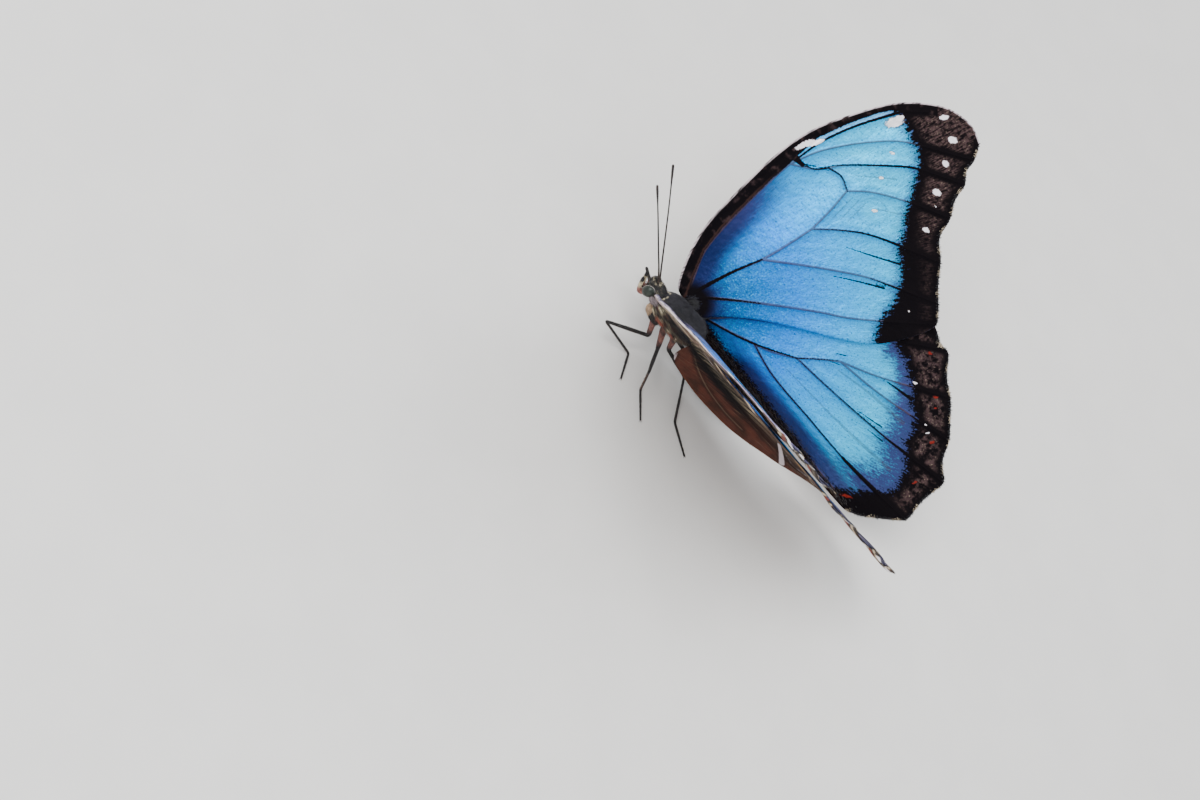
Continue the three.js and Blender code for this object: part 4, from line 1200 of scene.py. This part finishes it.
PATCHES = [  # name of the colour, tail, left, up, reach; both sides alike
    ("cream", -5.4, 1.6, -1.1, .45), ("cream", -5.25, 1.2, -.3, .4), ("cream", -5.05, .7, .3, .4),
    ("cream", -4.6, 1.8, -4.2, .9), ("cream", -9, .2, -.5, .3), ("cream", -7.9, .3, .3, .25),
    ("cream", 6.1, 1.9, -5.4, 1.0), ("rust", -2.1, 2.9, -4.4, 1.3), ("rust", 1.7, 2.8, -4.7, 1.0),
    ("cream", -3.9, 2.5, -1.6, .5), ("cream", -2.4, 2.7, -3.3, .38), ("cream", .4, 2.9, -3.6, .4),
    ("cream", 3.0, 2.7, -3.9, .45), ("cream", -6.5, 1.2, .1, .25), ("cream", -7.3, .9, .45, .2),
    ("cream", -7.9, .35, .55, .2), ("cream", -8.5, .7, .1, .2), ("cream", -7.0, 1.45, -.6, .2),
    ("salmon", -9, .5, -2.9, .6),
]
TUFTS = [  # hairy lobes by the neck, breast and wing roots: name, line, half thickness, colour
    ("collar_lobe", [(-7.2, 1.8, -2.3), (-6.3, 2.2, -2.2), (-5.3, 2.3, -2.1)], .58, 0x86787A),
    ("throat_lobe", [(-5.5, 1.6, -3.2), (-5.1, 2.1, -4.3), (-3.9, 2.1, -5.5)], .62, 0xC2A282),
    ("breast_lobe", [(-4.7, 1.4, -4.3), (-3.2, 1.9, -5.5), (-1.4, 2.0, -5.9)], .7, 0x2C2320),
    ("hinge_lobe", [(.3, 1.6, .1), (3.2, 2.1, .4), (6.3, 1.8, -.4)], .8, 0x191720),
    ("axil_lobe", [(3.6, 2.1, .7), (4.3, 3.2, 1.8), (5.2, 4.4, 3.0)], .42, 0x14131C),
]


def body_sections(step=0.28):
    """Centres and half sizes along the body, with the soft rings of the abdomen."""
    rows = line_through(SECTIONS, step)
    tail, _, wide, high = rows.T
    ring_share = (tail - ABDOMEN_FROM) / (SECTIONS[-1][0] - ABDOMEN_FROM) * RINGS
    swell = np.where(tail > ABDOMEN_FROM, 0.05 * np.sin(np.pi * (ring_share % 1)) ** 0.6 - 0.03, 0)
    return rows[:, :2], np.maximum(wide * (1 + swell), 0.01), np.maximum(high * (1 + swell), 0.01)


def body_tint(points_mm, settings):
    """The colour of skin and coat at points of the body, given as tail, left and up."""
    tail, left, up = points_mm.T
    left = np.abs(left)
    colour = np.tile(np.array(settings.charcoal), (len(tail), 1))

    def over(share, other):
        colour[:] = blend(share, colour, other)

    over(smooth(-tail, 5.4, 6.2), settings.soot)
    dots = np.sin(tail * 6.1 + left * 4.3) * np.sin(up * 6.7 - left * 5.1 + 0.8)
    over(smooth(dots, 0.55, 0.85) * smooth(-tail, 5.6, 6.4) * 0.55, np.array(settings.cream) * 0.6)
    flank = smooth(-(up + 0.18 * tail), 0.6, 2.2) * smooth(tail, -5.5, -4)
    over(flank, np.array(settings.brown) * 0.6)
    around = np.arctan2(left, up + 2.2)
    stripes = smooth(np.sin(around * 26 + tail * 0.5 + 0.6 * np.sin(tail * 1.9)), 0.3, 0.9)
    over(flank * stripes * 0.75, np.array(settings.cream) * 0.45)
    over(flank * smooth(np.sin(around * 9 + tail * 1.3), 0.75, 0.97) * 0.25, settings.rust)
    over(smooth(tail, 5.4, 8.0), settings.brown)
    for name, *centre, reach in PATCHES:
        distance = np.sqrt((tail - centre[0]) ** 2 + (left - centre[1]) ** 2 + (up - centre[2]) ** 2)
        over(smooth(-distance, -reach * 1.15, -reach * 0.7), getattr(settings, name))
    return colour


def build_body(settings):
    """One skin from the face to the tip of the abdomen, the coat on it, and the hairy lobes."""
    line, wide, high = body_sections()
    shape = np.stack([line[:, 0], np.zeros(len(line)), line[:, 1]], -1), wide, high
    points, faces, *_ = tube(*shape, 48)
    skin = add_solid("body_skin", place_all(points), faces, skin_finish("body_skin"),
                     {"tint": body_tint(points, settings)})
    keep(skin, "body_fur", "head", "thorax", "abdomen")
    points, faces, _, fields = body_sheet(shape, 48)
    tail, left, up = points.T
    fields["tint"] = body_tint(points, settings)
    ahead = unit(place_all([[-1.0, 0, 0.35]]) - place(0, 0, 0))
    fields["comb"] = unit(blend(smooth(-tail, 7.6, 8.8), fields["comb"], ahead))
    hinge = smooth(up, -0.8, 0.4) * smooth(np.abs(left), 0.9, 1.7)
    hinge = hinge * smooth(tail, -1.5, 1) * smooth(-tail, -7.5, -5.5)
    hair = hair_finish("body_hair")
    for name, cover, length, slot, density, breadth, lift in (
            ("head_coat", (tail < -6.0) * smooth(tail, -9.3, -8.8), 0.55, "body_fur", 75, 0.07, 0.6),
            ("thorax_coat", (tail >= -6.0) * smooth(-tail, -6.8, -6.0), 1.35, "body_fur", 42, 0.09, 0.32),
            ("abdomen_coat", (tail > 6.0) * 1.0, 0.75, "abdomen_fur", 26, 0.09, 0.16)):
        fields["cover"] = cover * (1 + 0.4 * hinge)
        fields["length"] = (length + 0.2 * hinge + 0.35 * smooth(-tail, 8.0, 8.6)) * MM
        grow_coat(name, (place_all(points), faces, fields), hair, slot, density * settings.coat, breadth,
                  lift, 0.28, len(name))
    skin = skin_finish("tuft_skin")
    for name, line, half, code in TUFTS:
        for label, side in SIDES.items():
            path = line_through(on_side(line, side), 0.15)
            size = half * (1 - 0.5 * np.linspace(-1, 1, len(path)) ** 2)
            hairy_tube(f"{name}_{label}", "body_fur", (path, size, size),
                       lambda along: np.tile(tone(code), (len(along), 1)), skin, hair, 0.6,
                       60 * settings.coat)


class BUTTERFLY_OT_body(bpy.types.Operator):
    """Build the skin of the head, thorax and abdomen with its coat"""
    bl_idname = "butterfly.body"
    bl_label = "Body and Coat"

    def execute(self, context):
        build_body(context.scene.butterfly_body)
        return {"FINISHED"}


# ---------------------------------------------------------------- head parts
EYE = {"tail": -8.2, "left": 1.7, "up": -1.9, "half": (1.24, 1.02, 1.54)}
PALP = [(-7.6, .8, -3.2), (-8.9, .9, -4.5), (-10.5, .95, -2.3), (-11.4, .85, -.2)]
PALP_SHARE = 0.78  # the palp ends here, and its scales reach the rest of the way
ANTENNA = [(-8.2, .36, .3), (-11.3, .7, 3.7), (-14.5, 1.35, 7.1), (-21, 2.55, 14), (-27.4, 3.6, 20.6)]
ANTENNA_RINGS = 46
COIL = {"tail": -8.4, "up": -4.8, "outer": 1.15, "inner": .35, "from": 75, "turns": 1.2}


def ellipsoid(centre, half, rings=32, sides=48):
    """A closed ellipsoid: its points and faces."""
    angles = np.linspace(0, math.pi, rings + 2)[1:-1]
    line = np.stack([np.cos(angles) * -half[0], np.zeros(rings), np.zeros(rings)], -1) + centre
    return tube(line, np.sin(angles) * half[1], np.sin(angles) * half[2], sides)


def eye_finish(settings):
    """A dark, softly glossy eye with fine facets and a few lighter clouds."""
    finish = Finish("eye", roughness=0.3, Specular_IOR_Level=0.3, Coat_Weight=0.08, Coat_Roughness=0.15)
    place_ = finish.place()
    clouds = finish.noise(place_, 900.0, 2.0)
    cells = finish.tree.nodes.new("ShaderNodeTexVoronoi")
    finish.put(place_, cells.inputs["Vector"])
    cells.inputs["Scale"].default_value = 16000.0
    finish.bump(cells.outputs["Distance"], 0.00002, 0.5)
    return finish.paint(finish.over(settings.eye, (0.045, 0.055, 0.045), clouds, -0.6, 1.2, 0.6))


def eye_rim(centre, side):
    """A narrow ring of pale scales around an eye."""
    angles = np.linspace(0, 2 * math.pi, 73)
    line = np.stack([EYE["half"][0] * 0.98 * np.cos(angles), np.full(len(angles), -0.2 * side),
                     EYE["half"][2] * 0.98 * np.sin(angles)], -1) + centre
    size = 0.085 * (1 + 0.25 * np.sin(angles * 18))
    return tube(line, size, size, 10, (0, 1, 0))


def build_head(settings):
    """Eyes, palps, coiled tongue and feelers."""
    eye = eye_finish(settings)
    hair, skin = hair_finish("palp_hair"), skin_finish("palp_skin")
    horn = horn_finish("feeler_horn", settings.horn, 0.45)
    for label, side in SIDES.items():
        centre = np.array([EYE["tail"], side * EYE["left"], EYE["up"]])
        points, faces, *_ = ellipsoid(centre, EYE["half"])
        keep(add_solid(f"eye_{label}_globe", place_all(points), faces, eye), "eye", f"eye_{label}")
        points, faces, *_ = eye_rim(centre, side)
        tint = np.tile([0.42, 0.38, 0.36], (len(points), 1))
        keep(add_solid(f"eye_{label}_rim", place_all(points), faces, skin, {"tint": tint}), "eye")
        path = line_through(on_side(PALP, side), 0.12)
        path = path[:round(PALP_SHARE * len(path))]
        share = np.linspace(0, 1, len(path))
        wide = 0.4 - 0.12 * share
        high = np.where(share < 0.75, 0.56 - 0.12 * share, 0.47 - 0.6 * (share - 0.75))
        hairy_tube(f"palp_{label}", "palp", (path, wide, high), lambda along: palp_tint(along, settings),
                   skin, hair, 0.42, 90 * settings.coat, f"palp_{label}")
        build_antenna(label, side, horn)
    build_tongue(horn)


def palp_tint(along, settings):
    """Salmon and beige along a palp, with a black tip."""
    stops = [(0, settings.salmon), (.5, settings.salmon), (.62, settings.cream), (.78, settings.cream),
             (.86, settings.soot), (1, settings.soot)]
    places = [place_ for place_, _ in stops]
    return np.stack([np.interp(along, places, [c[i] for _, c in stops]) for i in range(3)], -1)


def horn_finish(name, colour, roughness):
    """Dark chitin with fine cloudy wear."""
    finish = Finish(name, roughness=roughness, Specular_IOR_Level=0.4)
    place_ = finish.place()
    clouds = finish.noise(place_, 2500.0, 2.0)
    finish.bump(finish.noise(place_, 14000.0, 1.0), 0.00002, 0.4)
    return finish.paint(finish.over(colour, (0.09, 0.06, 0.045), clouds, -0.8, 1.2, 0.5))


def add_rod(name, slot, node, path, radius, sides, hint, material):
    """A round-ended rod along a line of body places."""
    points, faces, *_ = tube(*rounded(path, radius, radius), sides, hint)
    keep(add_solid(name, place_all(points), faces, material), slot, node)


def build_antenna(label, side, material):
    """A ringed feeler that swells to a slender club."""
    path = line_through(on_side(ANTENNA, side), 0.1)
    share = np.linspace(0, 1, len(path))
    radius = 0.18 - 0.05 * share + 0.12 * smooth(share, 0.8, 0.97)
    radius = radius * (1 + 0.1 * np.abs(np.sin(share * ANTENNA_RINGS * math.pi)))
    radius = radius + 0.1 * smooth(-share, -0.03, 0)
    add_rod(f"antenna_{label}_rings", "antenna", f"antenna_{label}", path, radius, 12, (0, 0, 1), material)


def build_tongue(material):
    """The coiled tongue, ringed along its length."""
    share = np.linspace(0, 1, 150)
    angle = math.radians(COIL["from"]) + share * COIL["turns"] * 2 * math.pi
    radius = COIL["outer"] + (COIL["inner"] - COIL["outer"]) * share
    path = np.stack([COIL["tail"] + radius * np.cos(angle), np.zeros(len(share)),
                     COIL["up"] + radius * np.sin(angle)], -1)
    size = (0.24 - 0.08 * share) * (1 + 0.05 * np.sin(share * 60 * math.pi))
    add_rod("tongue_coil", "tongue", "proboscis", path, size, 14, (0, 1, 0), material)


class BUTTERFLY_OT_head(bpy.types.Operator):
    """Build the eyes, palps, tongue and feelers"""
    bl_idname = "butterfly.head"
    bl_label = "Eyes, Palps and Feelers"

    def execute(self, context):
        build_head(context.scene.butterfly_body)
        return {"FINISHED"}


# ---------------------------------------------------------------- legs
LEGS = {  # hip, trochanter and knee as tail, left and up; ankle and toe as tail and left on the floor
    "foreleg": ((-2.4, 1.5, -5.6), (.1, 2.8, -9.2), (-9.3, 9.5, -9), (-.5, 6.6), (1.3, 12.8)),
    "middleleg": ((.8, 1.6, -5.8), (3.5, 2.8, -9.4), (3.7, 12.3, -6.1), (6.2, 11.2), (9.9, 16.8)),
    "hindleg": ((3.5, 1.3, -5), (5.2, 1.9, -8.3), (12.1, 2.2, -9.6), (16.4, 10.4), (22.2, 14.8)),
}
LEG_PARTS = ("coxa", "femur", "tibia", "tarsus")
HEEL = 0.32  # height of a tarsus's axis over the floor


def leg_path(joints, step=0.16):
    """A leg's line with its corners rounded, and the share of its length at each joint."""
    joints = np.asarray(joints, float) / MM
    pieces = [joints[:1]]
    for start, corner, end in zip(joints, joints[1:], joints[2:]):
        turn = 0.55
        before = corner + unit(start - corner) * turn
        after = corner + unit(end - corner) * turn
        t = np.linspace(0, 1, 5)[:, None]
        pieces.append((1 - t) ** 2 * before + 2 * t * (1 - t) * corner + t ** 2 * after)
    pieces.append(joints[-1:])
    rough = np.vstack(pieces)
    found = [rough[:1]]
    for start, end in zip(rough, rough[1:]):
        count = max(1, math.ceil(np.linalg.norm(end - start) / step))
        found.append(start + (end - start) * (np.arange(1, count + 1) / count)[:, None])
    path = np.vstack(found)
    nearest = [np.argmin(np.linalg.norm(path - joint, axis=1)) for joint in joints]
    lengths = lengths_along(path)
    return path, lengths, lengths[nearest]


def leg_radius(lengths, marks):
    """Half thickness along a leg: stout coxa, slimmer femur and tibia, and a tarsus of five beads."""
    hip, trochanter, knee, ankle, toe = marks
    places = [hip, trochanter - .6, trochanter + .5, (trochanter + knee) / 2, knee, knee + .8, ankle - .5,
              ankle + .3, toe]
    radius = np.interp(lengths, places, [.75, .5, .36, .38, .28, .24, .25, .27, .2])
    bead = np.clip((lengths - ankle) / (toe - ankle), 0, 1)
    starts = np.array([0, .42, .6, .74, .87, 1])
    place_ = np.clip(np.searchsorted(starts, bead, side="right") - 1, 0, 4)
    within = (bead - starts[place_]) / (starts[place_ + 1] - starts[place_])
    return radius * (1 + np.where(lengths > ankle, 0.18 * within - 0.1, 0))


def leg_tint(lengths, trochanter, under, settings):
    """Salmon coxa, dark leg and a paler stripe beneath it."""
    colour = blend(smooth(under, 0.2, 0.8) * 0.8, settings.horn, settings.pale_leg)
    root = smooth(-lengths, -(trochanter + 0.4), -(trochanter - 0.8))
    blotch = smooth(np.sin(lengths * 2.3 + under * 1.7), 0.1, 0.8)[:, None]
    return blend(root, colour, np.array(settings.salmon) * (0.75 - 0.5 * blotch))


def build_leg(name, label, side, settings, skin, hair, horn):
    """One leg as a single skin with scales, spines and claws."""
    *upper, ankle, toe = LEGS[name]
    joints = [*place_all(on_side(upper, side)), *(on_floor(t, side * l, HEEL) for t, l in (ankle, toe))]
    path, lengths, marks = leg_path(joints)
    _, trochanter, knee, _, toe = marks
    radius = leg_radius(lengths, marks)
    shape, hint = rounded(path, radius, radius), (-0.3, 0.0, 1.0)
    points, faces, along, around = tube(*shape, 16, hint)
    tint = leg_tint(along * lengths[-1], trochanter, -np.cos(around * 2 * math.pi), settings)
    points[:, 2] = np.maximum(points[:, 2], 0.0)
    keep(add_solid(f"{name}_{label}_skin", points * MM, faces, skin, {"tint": tint}), "leg",
         *(f"{name}_{part}_{label}" for part in LEG_PARTS))
    points, faces, along, around, fields = sheet(*shape, 16, hint)
    length, height = along * lengths[-1], points[:, 2]
    under = -np.cos(around * 2 * math.pi)
    fields["tint"] = leg_tint(length, trochanter, under, settings)
    fields["cover"] = smooth(height, 0.16, 0.34)
    fields["length"] = np.where(length < knee, 0.34, 0.24) * smooth(height, -0.2, 0.7) * MM
    grow_coat(f"{name}_{label}_scales", (points * MM, faces, fields), hair, "leg", 70 * settings.coat, 0.07,
              0.12, 0.15, len(name) + side)
    shin = (length > knee + 0.5) & (under > 0.1) & (length < toe - 0.3)
    fields["cover"] = shin * smooth(height, 0.5, 0.7)
    fields["length"] = np.full(len(length), 0.42 * MM)
    fields["tint"] = np.tile(settings.horn, (len(length), 1))
    grow_coat(f"{name}_{label}_spines", (points * MM, faces, fields), hair, "leg", 8, 0.06, 0.55, 0.15,
              len(name) + side + 3)
    claws(f"{name}_{label}", joints[-1], joints[-1] - joints[-2], horn)


def claws(name, tip, ahead, material):
    """Two small hooked claws at the end of a tarsus."""
    ahead = unit(ahead)
    across = np.cross(ahead, (0, 0, 1.0))
    all_points, all_faces = [], []
    for side in (-1, 1):
        share = np.linspace(0, 1, 9)[:, None]
        path = (tip / MM + ahead * (0.05 + 0.5 * share) + across * side * (0.1 + 0.16 * share)
                + np.array([0, 0, 1.0]) * (0.06 * np.sin(math.pi * share) - 0.24 * share ** 2))
        size = 0.075 * (1 - 0.75 * share[:, 0])
        line, wide, high = rounded(path, size, size, 2)
        points, faces, *_ = tube(line, wide, high, 8)
        start = sum(len(p) for p in all_points)
        all_points.append(points)
        all_faces += [tuple(i + start for i in face) for face in turned_outward(points, faces)]
    points = np.vstack(all_points)
    points[:, 2] = np.maximum(points[:, 2], 0.01)
    keep(add_mesh(name + "_claws", points * MM, all_faces, material), "leg")


class BUTTERFLY_OT_legs(bpy.types.Operator):
    """Build the six legs with their scales, spines and claws"""
    bl_idname = "butterfly.legs"
    bl_label = "Legs"

    def execute(self, context):
        settings = context.scene.butterfly_body
        skin = skin_finish("leg_skin", 0.6, 0.00002)
        hair = hair_finish("leg_hair", 0.55)
        horn = horn_finish("claw_horn", settings.horn, 0.35)
        for name in LEGS:
            for label, side in SIDES.items():
                build_leg(name, label, side, settings, skin, hair, horn)
        return {"FINISHED"}


# ---------------------------------------------------------------- stage
CAMERA = {
    "position": (-118.09, -307.36, 327.39), "forward": (.2198, .6424, -.7342), "up": (-.7096, .6218, .3315),
    "lens": 65.73, "sensor": 36.0,
}


def soft_light(name, position, target, size, power, colour=(1, 1, 1)):
    """A square area light aimed at a point."""
    light = bpy.data.lights.new(name, "AREA")
    light.size = size
    light.energy = power
    light.color = colour
    obj = bpy.data.objects.new(name, light)
    obj.location = position
    obj.rotation_euler = (Vector(target) - Vector(position)).to_track_quat("-Z", "Y").to_euler()
    bpy.context.scene.collection.objects.link(obj)


class BUTTERFLY_OT_stage(bpy.types.Operator):
    """Build the floor, the lights and the camera"""
    bl_idname = "butterfly.stage"
    bl_label = "Stage"

    def execute(self, context):
        settings = context.scene.butterfly_stage
        floor = Finish("floor", roughness=0.9, Specular_IOR_Level=0.2)
        grain = floor.noise(floor.place(), 60.0, 3.0)
        floor.paint(floor.over(settings.floor, (0.4, 0.4, 0.4), grain, -1.0, 1.0, 0.06))
        half, level = 3.0, -0.00003
        corners = [(-half, -half, level), (half, -half, level), (half, half, level), (-half, half, level)]
        add_mesh("floor", corners, [(0, 1, 2, 3)], floor.material)
        target = (0.0, 0.0, 0.03)
        soft_light("key", (-0.25, -0.25, 0.6), target, 0.5, settings.key)
        soft_light("fill", (0.35, 0.35, 0.5), target, 0.6, settings.fill)
        world = context.scene.world or bpy.data.worlds.new("world")
        context.scene.world = world
        world.use_nodes = True
        sky = next(n for n in world.node_tree.nodes if n.type == "BACKGROUND")
        sky.inputs["Color"].default_value = (0.92, 0.95, 1.0, 1.0)
        sky.inputs["Strength"].default_value = settings.sky
        camera = bpy.data.cameras.new("camera")
        camera.lens, camera.sensor_width = CAMERA["lens"], CAMERA["sensor"]
        camera.clip_start, camera.clip_end = 0.01, 20.0
        obj = bpy.data.objects.new("camera", camera)
        forward, up = Vector(CAMERA["forward"]).normalized(), Vector(CAMERA["up"]).normalized()
        right = forward.cross(up).normalized()
        up = right.cross(forward)
        matrix = obj.matrix_world.to_3x3()
        matrix.col[0], matrix.col[1], matrix.col[2] = right, up, -forward
        obj.matrix_world = matrix.to_4x4()
        obj.location = Vector(CAMERA["position"]) * MM
        context.scene.collection.objects.link(obj)
        context.scene.camera = obj
        return {"FINISHED"}


# ---------------------------------------------------------------- add-on
OPERATORS = (BUTTERFLY_OT_wings, BUTTERFLY_OT_body, BUTTERFLY_OT_head, BUTTERFLY_OT_legs, BUTTERFLY_OT_stage)
GROUPS = {"butterfly_wings": WingSettings, "butterfly_body": BodySettings, "butterfly_stage": StageSettings}


class BUTTERFLY_PT_panel(bpy.types.Panel):
    """The butterfly's pieces and sizes"""
    bl_idname = "BUTTERFLY_PT_panel"
    bl_label = "Blue Morpho"
    bl_space_type = "VIEW_3D"
    bl_region_type = "UI"
    bl_category = "Butterfly"

    def draw(self, context):
        for operator in OPERATORS:
            self.layout.operator(operator.bl_idname)
        for group, kind in GROUPS.items():
            box = self.layout.box()
            for name in kind.__annotations__:
                box.prop(getattr(context.scene, group), name)


def register():
    for kind in (*GROUPS.values(), *OPERATORS, BUTTERFLY_PT_panel):
        bpy.utils.register_class(kind)
    for group, kind in GROUPS.items():
        setattr(bpy.types.Scene, group, PointerProperty(type=kind))


def unregister():
    for group in GROUPS:
        delattr(bpy.types.Scene, group)
    for kind in (BUTTERFLY_PT_panel, *reversed(OPERATORS), *GROUPS.values()):
        bpy.utils.unregister_class(kind)


def main():
    register()
    bpy.ops.butterfly.stage()
    bpy.ops.butterfly.wings()
    bpy.ops.butterfly.body()
    bpy.ops.butterfly.head()
    bpy.ops.butterfly.legs()


if __name__ == "__main__":
    main()
